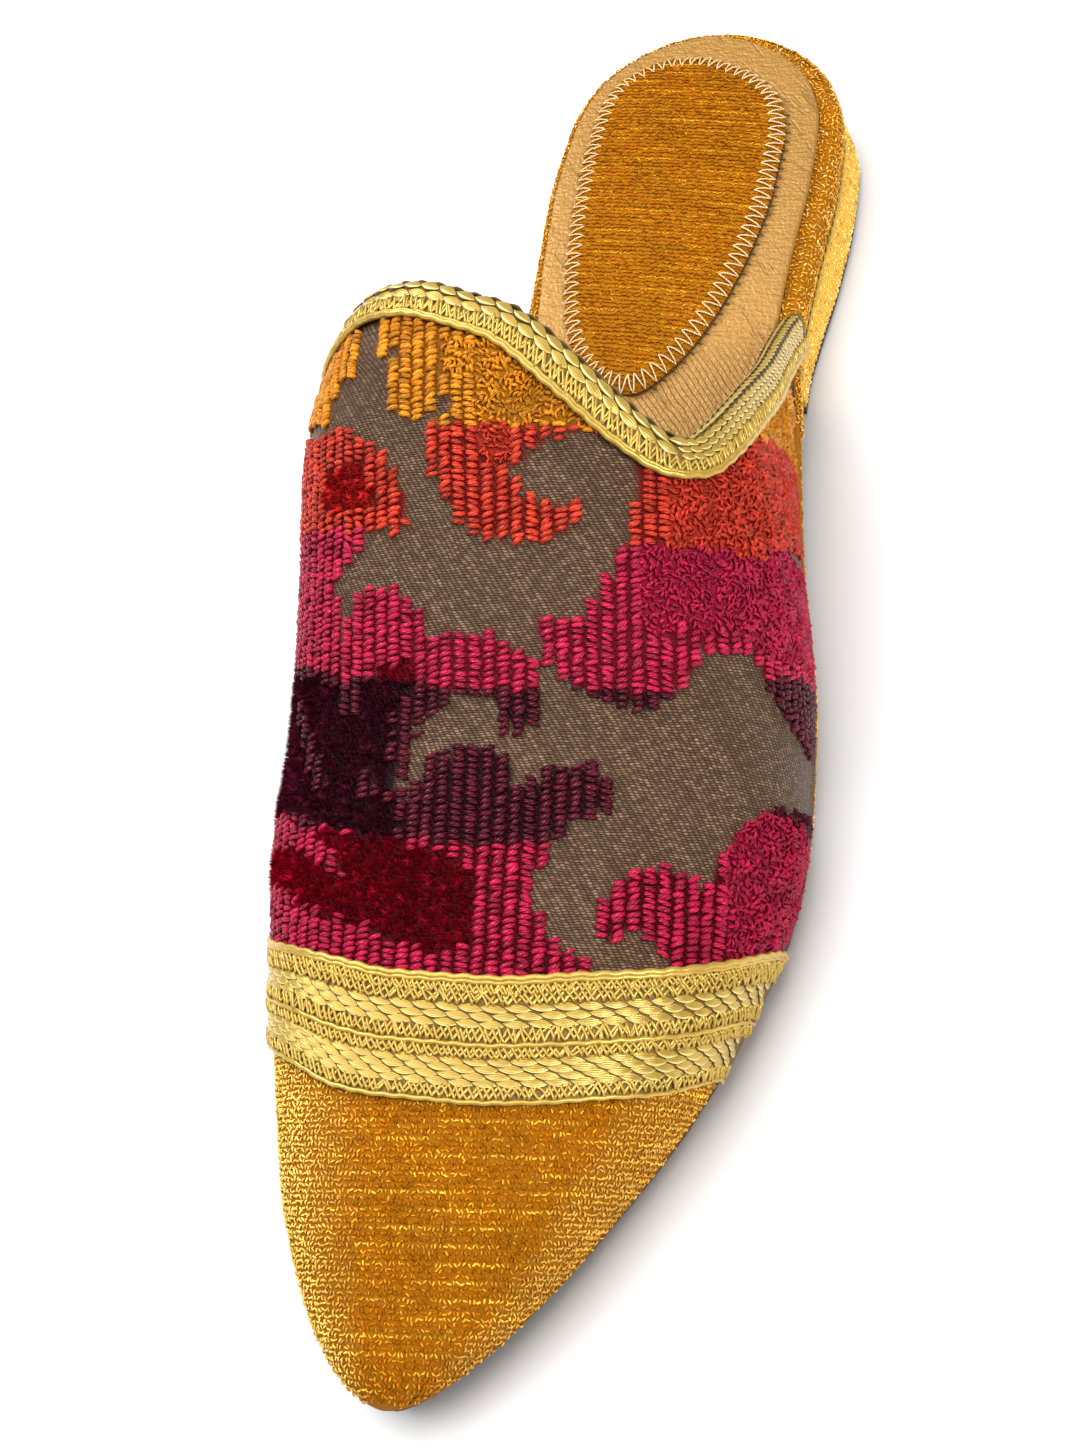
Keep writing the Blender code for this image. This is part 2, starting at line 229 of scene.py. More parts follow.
BOTTOM = (
    (0, 3.3, 2.4, 3), (12, 2.2, 2.4, 3), (30, 0.8, 2.4, 3), (48, 0, 2.4, 3), (108, 0, 2.4, 3),
    (130, 0.6, 2.2, 3.6), (150, 1.9, 1.9, 4.4), (170, 4.2, 1.6, 5.2), (190, 7, 1.4, 6.2),
    (210, 8.3, 1.3, 6.9), (228, 8.8, 1.3, 7.1), (268, 8.9, 1.3, 7.1),
)
SECTION = (
    (0, 0, 0, 0), (4, 7.3, 0, 0), (12, 11.6, 0, -1), (30, 20.3, 0, -2), (60, 27.9, 0, -3),
    (90, 33.5, 0.3, -4), (120, 46.9, 3.3, -4), (150, 58.6, 10.2, -4), (190, 58, 7.5, -4),
    (268, 58, 7.5, -4),
)
COLLAR = (
    (0, 190), (12, 177.4), (20, 167.4), (30, 156.4), (42, 143.4), (48, 139), (54, 137.6), (60, 138.8),
    (72, 144), (88, 152.4), (104, 157.4), (121, 159), (136, 157.6), (150, 160.2), (160, 169.4),
    (170, 181.4), (180, 192),
)
BAND = (
    (0, 56, 78), (12, 52, 73.5), (29, 47, 67.6), (44, 44, 63.4), (60, 41, 60.2), (78, 39.2, 57.4),
    (92, 39, 57), (104, 39.8, 58.2), (120, 43, 60.2), (147, 48.2, 64.6), (166, 53, 71), (180, 57, 77),
)
PAD = (
    (179.5, 1.6, 1.6), (183, -6.4, 7.6), (190, -11, 12.6), (200, -13.8, 16.8), (212, -15.3, 19.8),
    (224, -16.2, 21.2), (236, -16.6, 21.3), (246, -16, 19.2), (252, -14, 14.6), (256.5, -9, 7.4),
    (258.8, -1, -1),
)


# %% Smooth curves through the tables
def smooth_curve(x, y):
    """A curve through the points that never swings past them."""
    step = np.diff(x)
    rise = np.diff(y) / step
    slope = np.concatenate([rise[:1], np.zeros(len(x) - 2), rise[-1:]])
    for k in range(1, len(x) - 1):
        if rise[k - 1] * rise[k] > 0:
            near, far = 2 * step[k] + step[k - 1], step[k] + 2 * step[k - 1]
            slope[k] = (near + far) / (near / rise[k - 1] + far / rise[k])

    def value(at):
        at = np.clip(np.asarray(at, float), x[0], x[-1])
        k = np.clip(np.searchsorted(x, at) - 1, 0, len(x) - 2)
        t = (at - x[k]) / step[k]
        start = y[k] * (1 + 2 * t) + slope[k] * step[k] * t
        end = y[k + 1] * (3 - 2 * t) - slope[k + 1] * step[k] * (1 - t)
        return start * (1 - t) ** 2 + end * t**2

    return value


def curves(table, *names, round_ends=False):
    """One curve for each column; round ends read d as an angle, so that outlines close round."""
    rows = np.array(table, float)
    first, last = rows[0, 0], rows[-1, 0]

    def along(values):
        values = np.asarray(values, float)
        if not round_ends:
            return values
        return np.arccos(1 - 2 * np.clip((values - first) / (last - first), 0, 1))

    made = {}
    for k, name in enumerate(names, 1):
        plain = smooth_curve(along(rows[:, 0]), rows[:, k])
        made[name] = lambda at, plain=plain: plain(along(at))
    return made


plan = curves(PLAN, "medial", "lateral", "tuck", "roll", round_ends=True)
bottom = curves(BOTTOM, "tread", "outsole", "midsole")
shape = curves(SECTION, "height", "swell", "ridge", round_ends=True)
collar = curves(COLLAR, "d")["d"]
band = curves(BAND, "front", "back")
pad = curves(PAD, "medial", "lateral", round_ends=True)


# %% Surfaces of the last
def outsole_top(d):
    return bottom["tread"](d) + bottom["outsole"](d)


def midsole_top(d):
    return outsole_top(d) + GAP + bottom["midsole"](d)


def insole_top(d):
    return midsole_top(d) + GAP + INSOLE_THICK


def drawn_in(size, depth):
    """A size less a depth, which fades out where the size is small, as in the toe."""
    return size - depth * (1.0 - np.exp(-size / (1.2 * np.abs(depth) + 1e-9)))


def drawn_plan(d, medial_inset, lateral_inset):
    medial, lateral = plan["medial"](d), plan["lateral"](d)
    middle, half = (medial + lateral) / 2, (lateral - medial) / 2
    y = d + (medial_inset + lateral_inset) / 2 * (1 - 2 * d / LENGTH)
    return y, middle - drawn_in(half, medial_inset), middle + drawn_in(half, lateral_inset)


def upper_point(d, degrees, depth=0.0):
    """A point of the upper, at a depth under its face. Past the feather edge it runs down the rand."""
    d, degrees = np.broadcast_arrays(np.asarray(d, float), np.asarray(degrees, float))
    angle = np.radians(np.clip(degrees, 0, 180))
    beyond = np.maximum(-degrees, 0) + np.maximum(degrees - 180, 0)
    across, rise = np.cos(angle), np.sin(angle)
    outer = across >= 0
    foot = np.where(outer, plan["lateral"](d), -plan["medial"](d))
    lift = np.clip(rise / 0.5, 0, 1)
    swell = np.where(outer, 0.0, shape["swell"](d)) * lift**2 * (3 - 2 * lift)
    width, height = drawn_in(foot + swell, depth), drawn_in(shape["height"](d), depth)
    bulge = SIDE_BULGE * np.clip(d / BULGE_RUN, 0, 1) * np.abs(np.sin(2 * angle))
    rolled = plan["roll"](d) * np.sin(np.clip(beyond / 5.5, 0, 1) * np.pi)
    reach = width * np.abs(across) ** ROUNDNESS + bulge * np.abs(across) ** 0.3 + rolled
    x = np.where(outer, 1, -1) * reach
    x = x + shape["ridge"](d) * rise**2
    z = midsole_top(d) + GAP + height * np.abs(rise) ** ROUNDNESS - LAP_PER_DEGREE * beyond
    return np.stack([x, d + depth * np.exp(-d / 6.0), z], -1)


def unit(vectors):
    return vectors / (np.linalg.norm(vectors, axis=-1, keepdims=True) + 1e-12)


def slopes(d, degrees, depth=0.0):
    """How a point of the upper moves with d and with the angle, and the outward direction."""
    along = upper_point(d + 0.25, degrees, depth) - upper_point(d - 0.25, degrees, depth)
    over = upper_point(d, degrees + 0.25, depth) - upper_point(d, degrees - 0.25, depth)
    return along * 2, over * 2, unit(np.cross(along, over))


def placed(points):
    """Millimetres of the last to metres of the frame."""
    return (np.asarray(points, float) - MIDDLE) * MM


print("instep height", round(float(upper_point(150, 90)[2]), 1), "mm")

# %% [markdown]
# ## Meshes from grids of points
#
# Cloth, leather and braid are all strips of points in rows and columns. One helper turns such a
# grid into a mesh with a UV map in millimetres, and another closes two grids into a thin shell.


# %% Helpers for meshes
def mesh_of(name, points, faces, uv=None):
    mesh = bpy.data.meshes.new(name)
    mesh.from_pydata(placed(points).tolist(), [], faces)
    if uv is not None:
        corners = np.empty(len(mesh.loops), np.int32)
        mesh.loops.foreach_get("vertex_index", corners)
        corner_uv = np.asarray(uv, np.float32)[corners]
        mesh.uv_layers.new(name="UVMap").data.foreach_set("uv", corner_uv.ravel())
    mesh.polygons.foreach_set("use_smooth", np.full(len(mesh.polygons), True))
    mesh.update()
    return mesh


def piece_of(name, mesh, *materials):
    for material in materials:
        mesh.materials.append(material)
    piece = bpy.data.objects.new(name, mesh)
    bpy.context.scene.collection.objects.link(piece)
    return piece


def belongs(piece, node=None):
    """The piece goes with the one body, and may stand for a solid of the frame."""
    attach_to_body(piece, "root")
    if node:
        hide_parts(node)


def tidy(mesh):
    """Merges doubles and points the faces of a closed shape outwards."""
    form = bmesh.new()
    form.from_mesh(mesh)
    bmesh.ops.remove_doubles(form, verts=form.verts, dist=2e-6)
    bmesh.ops.dissolve_degenerate(form, edges=form.edges, dist=1e-7)
    bmesh.ops.recalc_face_normals(form, faces=form.faces)
    if form.calc_volume(signed=True) < 0:
        bmesh.ops.reverse_faces(form, faces=form.faces)
    form.to_mesh(mesh)
    form.free()
    return mesh


def quads(rows, columns, closed=False):
    """Faces of a grid of points, closed round if asked."""
    faces = []
    for i in range(0, (rows - 1) * columns, columns):
        for k in range(columns if closed else columns - 1):
            after = (k + 1) % columns
            faces.append((i + k, i + after, i + columns + after, i + columns + k))
    return faces


def shell(name, outside, inside, uv, materials):
    """A closed sheet between two grids of the same size; the first material is its outer face."""
    rows, columns = outside.shape[:2]
    rings = np.concatenate([outside, inside[:, ::-1]], 1)
    size = 2 * columns
    faces = quads(rows, size, closed=True)
    inner = [i for i, f in enumerate(faces) if min(f[0] % size, f[1] % size) >= columns]
    for start in (0, (rows - 1) * size):
        end = start + size - 1
        faces += [(start + k, start + k + 1, end - 1 - k, end - k) for k in range(columns - 1)]
    both = np.concatenate([uv, uv[:, ::-1]], 1)
    mesh = mesh_of(name, rings.reshape(-1, 3), faces, both.reshape(-1, 2))
    if len(materials) > 1:
        slots = np.zeros(len(faces), np.int32)
        slots[inner] = 1
        mesh.polygons.foreach_set("material_index", slots)
    return piece_of(name, tidy(mesh), *materials)


# %% [markdown]
# ## Laying the cloth
#
# The pattern of the velvet runs in straight columns along the warp, so the cloth needs its own
# coordinates. One warp line is walked over the surface as straight as a taut thread (a geodesic),
# and from each millimetre of it a weft thread is walked to both sides. Any place of the cloth,
# u to the outer side and v to the heel, then has a place on the shoe.

# %% Walk the threads
START_D, START_ANGLE, HEADING = 98.5, 76.5, np.radians(4.314)
REACH_U, REACH_V = (88, 80), (60, 92)
WALK_D, WALK_ANGLES, FOOT_ANGLES = (2, 230), (-6, 186), (1.2, 178.8)


def steps_along(along, over, heading):
    """How d and the angle change for one millimetre along a heading on the surface."""
    aa, ao, oo = (along * along).sum(-1), (along * over).sum(-1), (over * over).sum(-1)
    ha, ho = (along * heading).sum(-1), (over * heading).sum(-1)
    spread = aa * oo - ao**2
    return (ha * oo - ho * ao) / spread, (aa * ho - ao * ha) / spread


def walk(d, degrees, heading, steps):
    """Straight lines over the surface, one millimetre a step, from many places at once."""
    path = [(d, degrees)]
    for _ in range(steps):
        along, over, normal = slopes(d, degrees)
        heading = unit(heading - (heading * normal).sum(-1, keepdims=True) * normal)
        step_d, step_angle = steps_along(along, over, heading)
        d = np.clip(d + step_d, *WALK_D)
        degrees = np.clip(degrees + step_angle, *WALK_ANGLES)
        path.append((d, degrees))
    return np.array(path)


start_d, start_angle = np.array([START_D]), np.array([START_ANGLE])
along, _, normal = slopes(start_d, start_angle)
along = unit(along)
heading = np.cos(HEADING) * along + np.sin(HEADING) * np.cross(normal, along)
ahead = walk(start_d, start_angle, -heading, REACH_V[0])
behind = walk(start_d, start_angle, heading, REACH_V[1])
warp = np.concatenate([ahead[::-1], behind[1:]])[:, :, 0]
warp_d, warp_angle = warp.T
run = np.gradient(upper_point(warp_d, warp_angle), axis=0)
to_right = unit(np.cross(run, slopes(warp_d, warp_angle)[2]))
left_side = walk(warp_d, warp_angle, -to_right, REACH_U[0])
right_side = walk(warp_d, warp_angle, to_right, REACH_U[1])
cloth = np.concatenate([left_side[::-1], right_side[1:]]).transpose(2, 0, 1)
on_foot = (cloth[..., 1] > FOOT_ANGLES[0]) & (cloth[..., 1] < FOOT_ANGLES[1])
for i in range(len(on_foot)):
    for side in (range(REACH_U[0], -1, -1), range(REACH_U[0], cloth.shape[1])):
        good = True
        for k in side:
            good = good and bool(on_foot[i, k])
            on_foot[i, k] = good
tall_v, wide_u = cloth.shape[:2]
print("cloth of", wide_u, "by", tall_v, "mm,", int(on_foot.sum()), "square mm of it on the foot")


# %% Places on the cloth, and the cloth's coordinates of a place
def between(values, i, k):
    """Values of a grid at places between its rows and columns."""
    i0 = np.clip(i.astype(int), 0, values.shape[0] - 2)
    k0 = np.clip(k.astype(int), 0, values.shape[1] - 2)
    a, b = i - i0, k - k0
    if values.ndim > 2:
        a, b = a[..., None], b[..., None]
    low = values[i0, k0] * (1 - b) + values[i0, k0 + 1] * b
    return low * (1 - a) + (values[i0 + 1, k0] * (1 - b) + values[i0 + 1, k0 + 1] * b) * a


def laid(u, v):
    """d and angle at a place of the cloth, and whether it is on the foot."""
    x = np.clip(np.asarray(u, float) + REACH_U[0], 0, cloth.shape[1] - 1.001)
    y = np.clip(np.asarray(v, float) + REACH_V[0], 0, cloth.shape[0] - 1.001)
    i, k = y.astype(int), x.astype(int)
    both = between(cloth, y, x)
    there = on_foot[i, k] & on_foot[i + 1, k] & on_foot[i, k + 1] & on_foot[i + 1, k + 1]
    return both[..., 0], both[..., 1], there


def tree_of(points):
    """A tree that finds the nearest of many points."""
    tree = KDTree(len(points))
    for k, point in enumerate(points):
        tree.insert(point, k)
    tree.balance()
    return tree


chart_rows, chart_columns = np.nonzero(on_foot)
chart_v, chart_u = chart_rows - REACH_V[0], chart_columns - REACH_U[0]
chart_tree = tree_of(upper_point(*cloth[chart_rows, chart_columns].T))


def cloth_frame(u, v):
    """Place, warp direction and outward direction at places of the cloth."""
    place = upper_point(*laid(u, v)[:2])
    warp_way = unit(upper_point(*laid(u, v + 0.5)[:2]) - upper_point(*laid(u, v - 0.5)[:2]))
    out = slopes(*laid(u, v)[:2])[2]
    return place, warp_way, out


def cloth_uv(points):
    """u and v of places on the shoe: the nearest crossing of threads, then the rest of the way."""
    flat = points.reshape(-1, 3)
    near = np.array([chart_tree.find(p)[1] for p in flat])
    place, warp_way, out = cloth_frame(chart_u[near], chart_v[near])
    rest = flat - place
    u = chart_u[near] + (rest * np.cross(warp_way, out)).sum(-1)
    v = chart_v[near] + (rest * warp_way).sum(-1)
    return np.stack([u, v], -1).reshape(points.shape[:-1] + (2,))


# %% [markdown]
# ## The vamp
#
# Behind the gold band the upper is a taupe satin, into which the pile is woven. It is a shell: satin
# outside, a thin tan leather lining inside, and a lower edge that laps a little over the rand, so
# that no light comes in under it. The weave is far too fine for a mesh, so the material draws it:
# short floating threads in rows, each row shifted a little, which shows as the line of a twill.
# Between the floats it paints shade, and on some floats and twill lines it paints glints and sheen.

# %% Taupe satin and lining
WEFT_ROW, FLOAT_LENGTH, FLOAT_SHIFT = 0.38, 0.86, 0.26
satin = Finish("taupe_satin", Roughness=0.42, Specular_IOR_Level=0.14)
uv = satin.add("UVMap").outputs[0]
split = satin.add("SeparateXYZ", {0: uv}).outputs
wander = satin.math("MULTIPLY", satin.math("SUBTRACT", satin.noise(uv, 0.35), 0.5), 0.9)
row = satin.math("DIVIDE", satin.math("ADD", split[1], wander), WEFT_ROW)
number = satin.math("FLOOR", row)
row_shift = satin.math("MULTIPLY", number, FLOAT_SHIFT)
shifted = satin.math("ADD", satin.math("DIVIDE", split[0], FLOAT_LENGTH), row_shift)
twill_line = satin.math("FLOOR", shifted)
swell = [
    satin.math("SINE", satin.math("MULTIPLY", satin.math("FRACT", value), np.pi)) for value in (shifted, row)
]
thread = satin.math("POWER", satin.math("MULTIPLY", *swell), 0.8)
# Painted sheen and glints: some twill lines are painted brighter, and each float gets a random tone with a
# painted glint.
line_shine = satin.math("ADD", 0.6, satin.math("MULTIPLY", satin.chance(twill_line), 0.6))
tone_and_glint = satin.math("MULTIPLY", satin.chance(twill_line, number), line_shine)
# deep is painted shade between the floats; the swell of each thread darkens into it at the float's ends and
# sides.
deep = satin.mix(satin.noise(uv, 0.06, 3.0), (0.012, 0.006, 0.003), (0.022, 0.012, 0.006))
bright = satin.mix(satin.math("POWER", tone_and_glint, 1.5), (0.130, 0.070, 0.038), (0.34, 0.203, 0.121))
bed = satin.add("Attribute", attribute_name="bed").outputs
satin.colour(satin.mix(bed["Alpha"], satin.mix(thread, deep, bright), bed["Color"]))
satin.bump(thread, 0.9, 0.00018)
lining = mottled(
    "tan_lining", 900.0, 3.0, (0.34, 0.20, 0.085), (0.45, 0.28, 0.13), (0.3, 0.0002), Roughness=0.55
)

# %% Vamp
CLOTH_DEPTH, LAP, INNER_LAP = 0.45, 1, 0.6
over = np.linspace(-LAP, 180 + LAP, 123)
within = np.clip(over, -INNER_LAP, 180 + INNER_LAP)
front_line = (band["front"](over) + band["back"](over)) / 2 - 2
share = np.linspace(0, 1, 91)[:, None]
along_vamp = front_line + (collar(over) - front_line) * share
outside = upper_point(along_vamp, over[None], CLOTH_DEPTH)
inside = upper_point(along_vamp, within[None], WALL)
vamp = shell("vamp", outside, inside, cloth_uv(outside), (satin.material, lining.material))
belongs(vamp, "upper")
print("vamp", len(vamp.data.polygons), "faces")

# %% [markdown]
# ## Planting with Geometry Nodes
#
# Loops, curls, tufts and the scales of the braid are all one small shape, repeated thousands of
# times. Each of them is a point that knows which way is up and which way the warp runs. One node
# tree reads those directions, puts the small shape on every point, shakes it a little with a fixed
# seed, and realizes the copies, so that the result is a plain mesh.


# %% Node tree that plants a shape on points
class Tree:
    """A Geometry Nodes tree under construction."""

    def __init__(self, name, **inputs):
        self.tree = bpy.data.node_groups.new(name, "GeometryNodeTree")
        for label, kind in (("Geometry", "Geometry"), *inputs.items()):
            self.tree.interface.new_socket(label, in_out="INPUT", socket_type="NodeSocket" + kind)
        self.tree.interface.new_socket("Geometry", in_out="OUTPUT", socket_type="NodeSocketGeometry")
        self.inputs = self.tree.nodes.new("NodeGroupInput").outputs

    def add(self, kind, inputs=None, **settings):
        node = self.tree.nodes.new(kind)
        for key, value in settings.items():
            setattr(node, key, value)
        for socket, value in (inputs or {}).items():
            if isinstance(value, bpy.types.NodeSocket):
                self.tree.links.new(value, node.inputs[socket])
            else:
                node.inputs[socket].default_value = value
        return node

    def ends_in(self, geometry):
        solid = self.add("GeometryNodeRealizeInstances", {0: geometry})
        smooth = self.add("GeometryNodeSetShadeSmooth", {0: solid.outputs[0]})
        wanted = {0: smooth.outputs[0], "Material": self.inputs["Material"]}
        dressed = self.add("GeometryNodeSetMaterial", wanted)
        self.add("NodeGroupOutput", {0: dressed.outputs[0]})
        return self.tree


planting = Tree("plant_on_points", Shape="Object", Shake="Vector", Seed="Int", Material="Material")
asked = planting.inputs


def field(name):
    named = planting.add("GeometryNodeInputNamedAttribute", {"Name": name}, data_type="FLOAT_VECTOR")
    return named.outputs[0]


points = planting.add("GeometryNodeMeshToPoints", {0: asked["Geometry"]})
standing = planting.add(
    "FunctionNodeAxesToRotation", {0: field("rise"), 1: field("warp")}, primary_axis="Z", secondary_axis="Y"
)
either_way = {0: (-1, -1, -1), 1: (1, 1, 1), "Seed": asked["Seed"]}
chance = planting.add("FunctionNodeRandomValue", either_way, data_type="FLOAT_VECTOR")
shake = planting.add("ShaderNodeVectorMath", {0: chance.outputs[0], 1: asked["Shake"]}, operation="MULTIPLY")
spin = planting.add("FunctionNodeEulerToRotation", {0: shake.outputs[0]})
facing = planting.add(
    "FunctionNodeRotateRotation", {0: standing.outputs[0], 1: spin.outputs[0]}, rotation_space="LOCAL"
)
shape_in = planting.add("GeometryNodeObjectInfo", {0: asked["Shape"], "As Instance": True})
copies = planting.add("GeometryNodeInstanceOnPoints", {
    "Points": points.outputs[0], "Instance": shape_in.outputs["Geometry"],
    "Rotation": facing.outputs[0], "Scale": field("size"),
})
plant_tree = planting.ends_in(copies.outputs[0])


def grown(name, guide, tree, **inputs):
    """Runs a node tree on a guide mesh and keeps the result as a plain mesh."""
    piece = piece_of(name, guide)
    modifier = piece.modifiers.new("grow", "NODES")
    modifier.node_group = tree
    for socket in tree.interface.items_tree:
        if socket.in_out == "INPUT" and socket.name in inputs:
            modifier[socket.identifier] = inputs[socket.name]
    evaluated = piece.evaluated_get(bpy.context.evaluated_depsgraph_get())
    result = bpy.data.meshes.new_from_object(evaluated)
    piece.modifiers.clear()
    piece.data = result
    result.name = name
    print(name, len(guide.vertices), "points,", len(result.polygons), "faces")
    return piece


def attach(mesh, name, kind, values, domain="POINT"):
    """A named attribute of a mesh, with a value for each of its points or corners."""
    key = {"FLOAT": "value", "FLOAT_VECTOR": "vector", "FLOAT_COLOR": "color"}[kind]
    mesh.attributes.new(name, kind, domain).data.foreach_set(key, np.asarray(values, np.float32).ravel())


def planted(name, shape, place, rise, warp_way, size, tint, material, shake, seed):
    """A small shape on every place, each with its directions, size and tint."""
    guide = bpy.data.meshes.new(name + "_points")
    guide.from_pydata(placed(place).tolist(), [], [])
    count = len(place)
    for label, values in (("rise", rise), ("warp", warp_way), ("size", size)):
        attach(guide, label, "FLOAT_VECTOR", np.broadcast_to(values, (count, 3)))
    tints = np.concatenate([np.broadcast_to(tint, (count, 3)), np.ones((count, 1))], 1)
    attach(guide, "tint", "FLOAT_COLOR", tints)
    return grown(name, guide, plant_tree, Shape=shape, Shake=shake, Seed=seed, Material=material)


# %% [markdown]
# ## Yarn loops, curls, tufts and their finish
#
# A loop of the pile is a short fat arch of yarn, and a curl of the chenille is a smaller one. A tuft
# of cut velvet is a handful of fibres, each one a thin three-sided spike, which is all that a fibre
# shows at this size. Curls and tufts carry a value that rises from root to tip, so that the material
# can paint shade inside the pile: dark at the root and bright at the ends.

# %% Small shapes
helpers = []


def helper(name, points, faces, uv=None):
    shape = piece_of(name, mesh_of(name, np.asarray(points) + MIDDLE, faces, uv))
    shape.hide_render = True
    helpers.append(shape)
    return shape


def yarn_loop(name, half, rise, thick, rings, sides):
    """An arch of yarn across its column, both ends sunk into the cloth."""
    t = np.linspace(-1, 1, rings)
    arch = t * np.pi / 2
    centre = np.stack([half * np.sin(arch), 0 * t, rise * np.cos(arch) ** 0.8 - 0.15], -1)
    flat = np.cross(unit(np.gradient(centre, axis=0)), (0, 1, 0))
    turn = np.linspace(0, 2 * np.pi, sides, endpoint=False)
    spoke = np.cos(turn)[None, :, None] * np.array([0, 1.0, 0]) + np.sin(turn)[None, :, None] * flat[:, None]
    ring = centre[:, None] + (thick * (1 - 0.32 * t**2))[:, None, None] * spoke
    ends = [tuple(range(sides)), tuple(range((rings - 1) * sides, rings * sides))[::-1]]
    uv = np.stack(np.meshgrid(np.linspace(0, 1, rings), turn / (2 * np.pi), indexing="ij"), -1)
    shape = helper(name, ring.reshape(-1, 3), quads(rings, sides, closed=True) + ends, uv.reshape(-1, 2))
    tidy(shape.data)
    return shape


def tuft(name, fibres, spread, lean, thick, seed):
    """A handful of spikes one millimetre tall."""
    dice = np.random.default_rng(seed)
    points, faces, tips = [], [], []
    for _ in range(fibres):
        foot = np.array([*dice.uniform(-spread, spread, 2), -0.15])
        tip = foot + np.array([*dice.normal(0, lean, 2), dice.uniform(0.8, 1.2)])
        turn = dice.uniform(0, 2 * np.pi) + np.arange(3) * 2 * np.pi / 3
        n = len(points)
        points += [*(foot + thick * np.stack([np.cos(turn), np.sin(turn), 0 * turn], -1)), tip]
        faces += [(n, n + 1, n + 3), (n + 1, n + 2, n + 3), (n + 2, n, n + 3)]
        tips += [0, 0, 0, 1]
    shape = helper(name, points, faces)
    attach(shape.data, "tip", "FLOAT", tips)
    return shape


def curl(name, half, rise, thick, rings, sides):
    """A small loop of chenille, which carries the same value as a tuft."""
    shape = yarn_loop(name, half, rise, thick, rings, sides)
    height = np.array([vertex.co.z for vertex in shape.data.vertices])
    attach(shape.data, "tip", "FLOAT", (height - height.min()) / (height.max() - height.min()))
    return shape


pile_loop = yarn_loop("pile_loop", 0.78, 0.62, 0.46, 6, 5)
crushed_loop = yarn_loop("crushed_loop", 0.58, 0.60, 0.29, 5, 3)
cut_tuft = tuft("cut_tuft", 7, 0.34, 0.26, 0.085, 3)
nap_curl = curl("nap_curl", 0.40, 0.46, 0.17, 4, 3)

# %% Finish of yarn and of cut fibres
STRANDS = 7
yarn = Finish("pile_yarn", Roughness=0.33, Specular_IOR_Level=0.30, Specular_Tint=(1.0, 0.60, 0.58))
uv = yarn.add("SeparateXYZ", {0: yarn.add("UVMap").outputs[0]}).outputs
wound = yarn.math("ADD", uv[1], yarn.math("MULTIPLY", uv[0], 0.35))
strand = yarn.math("SINE", yarn.math("MULTIPLY", wound, 2 * np.pi * STRANDS))
tint = yarn.add("Attribute", attribute_name="tint").outputs["Color"]
mottle = yarn.noise(yarn.add("TexCoord").outputs["Object"], 1800.0)
darker = yarn.mix(1.0, tint, (0.62, 0.55, 0.6), "MULTIPLY")
yarn.colour(yarn.mix(yarn.ramp(mottle, 0.3, 0.75), darker, tint))
yarn.bump(strand, 0.55, 0.00012)


def fibres(name, root, tip, **settings):
    """A finish for curls and tufts: their own tint under painted shade, darker at the root than at the tip.
    """
    finish = Finish(name, **settings)
    tint = finish.add("Attribute", attribute_name="tint").outputs["Color"]
    height = finish.add("Attribute", attribute_name="tip").outputs["Fac"]
    finish.colour(finish.mix(1.0, tint, finish.mix(height, root, tip), "MULTIPLY"))
    return finish


velvet_nap = fibres(
    "velvet_nap", (0.18, 0.12, 0.14), (1.35, 1.0, 1.05), Roughness=0.5, Specular_IOR_Level=0.0
)
ochre_nap = fibres(
    "ochre_nap", (0.46, 0.38, 0.28), (1.25, 1.22, 1.2), Roughness=0.6, Specular_IOR_Level=0.02,
    Sheen_Weight=0.04, Sheen_Roughness=0.35, Sheen_Tint=(1.0, 0.66, 0.22),
)

# %% [markdown]
# ## The figured pile
#
# The scrolls are outlined on the cloth, in millimetres of its own coordinates, and stepped like the
# real ones, where a column starts or stops. The dye changes along the warp: orange at the collar,
# then red, magenta, plum and crimson towards the toe. Most of the pile is left as loops in columns,
# some of it is crushed and lies in all directions, and the dark middles of the flowers are cut.

# %% Outlines of the pile on the cloth
SCROLL = (
    (-28.8, 72), (-28.8, 57.3), (-25.3, 57), (-25.2, 58.2), (-23.3, 58), (-23.3, 56.2), (-25.9, 55.8),
    (-25.9, 46.4), (-24.2, 46.3), (-24, 44.9), (-20.9, 44.8), (-20.6, 44.2), (-19.9, 44.3),
    (-19.7, 45.5), (-17.4, 45.6), (-17.3, 47.6), (-15.1, 47.6), (-15.1, 44.5), (-17.8, 44.4),
    (-17.9, 34.6), (-15.6, 34.3), (-15.4, 30.6), (-13.4, 30.2), (-13.2, 28), (-11.3, 27.2), (-11, 25.2),
    (-8.8, 24.8), (-4.9, 25), (-4.7, 24.4), (-0.3, 24.2), (1.3, 24.5), (1.5, 25.2), (3.4, 25.4),
    (3.5, 26.9), (5.6, 27.2), (5.7, 30.2), (3.4, 30.4), (3.3, 29.5), (1.2, 29.6), (1, 30.4),
    (-1.2, 30.4), (-1.3, 31.6), (-3.4, 31.8), (-3.6, 33.8), (-4.6, 34.2), (-4.4, 36), (-2.9, 36.2),
    (-2.6, 38), (-0.4, 38.2), (-0.2, 39.3), (4.2, 39.5), (4.4, 40.3), (9.2, 40.3), (9.3, 72),
)
COLLAR_LEAF = (
    (-33, 72), (-33, 54.6), (-35.2, 54.4), (-35.6, 55.4), (-37.2, 55), (-37.4, 52), (-38.4, 51),
    (-38.6, 48), (-39.6, 47.6), (-39.8, 46.2), (-41.6, 46.4), (-43, 48.2), (-50, 50), (-60, 53),
    (-70, 58), (-70, 72),
)
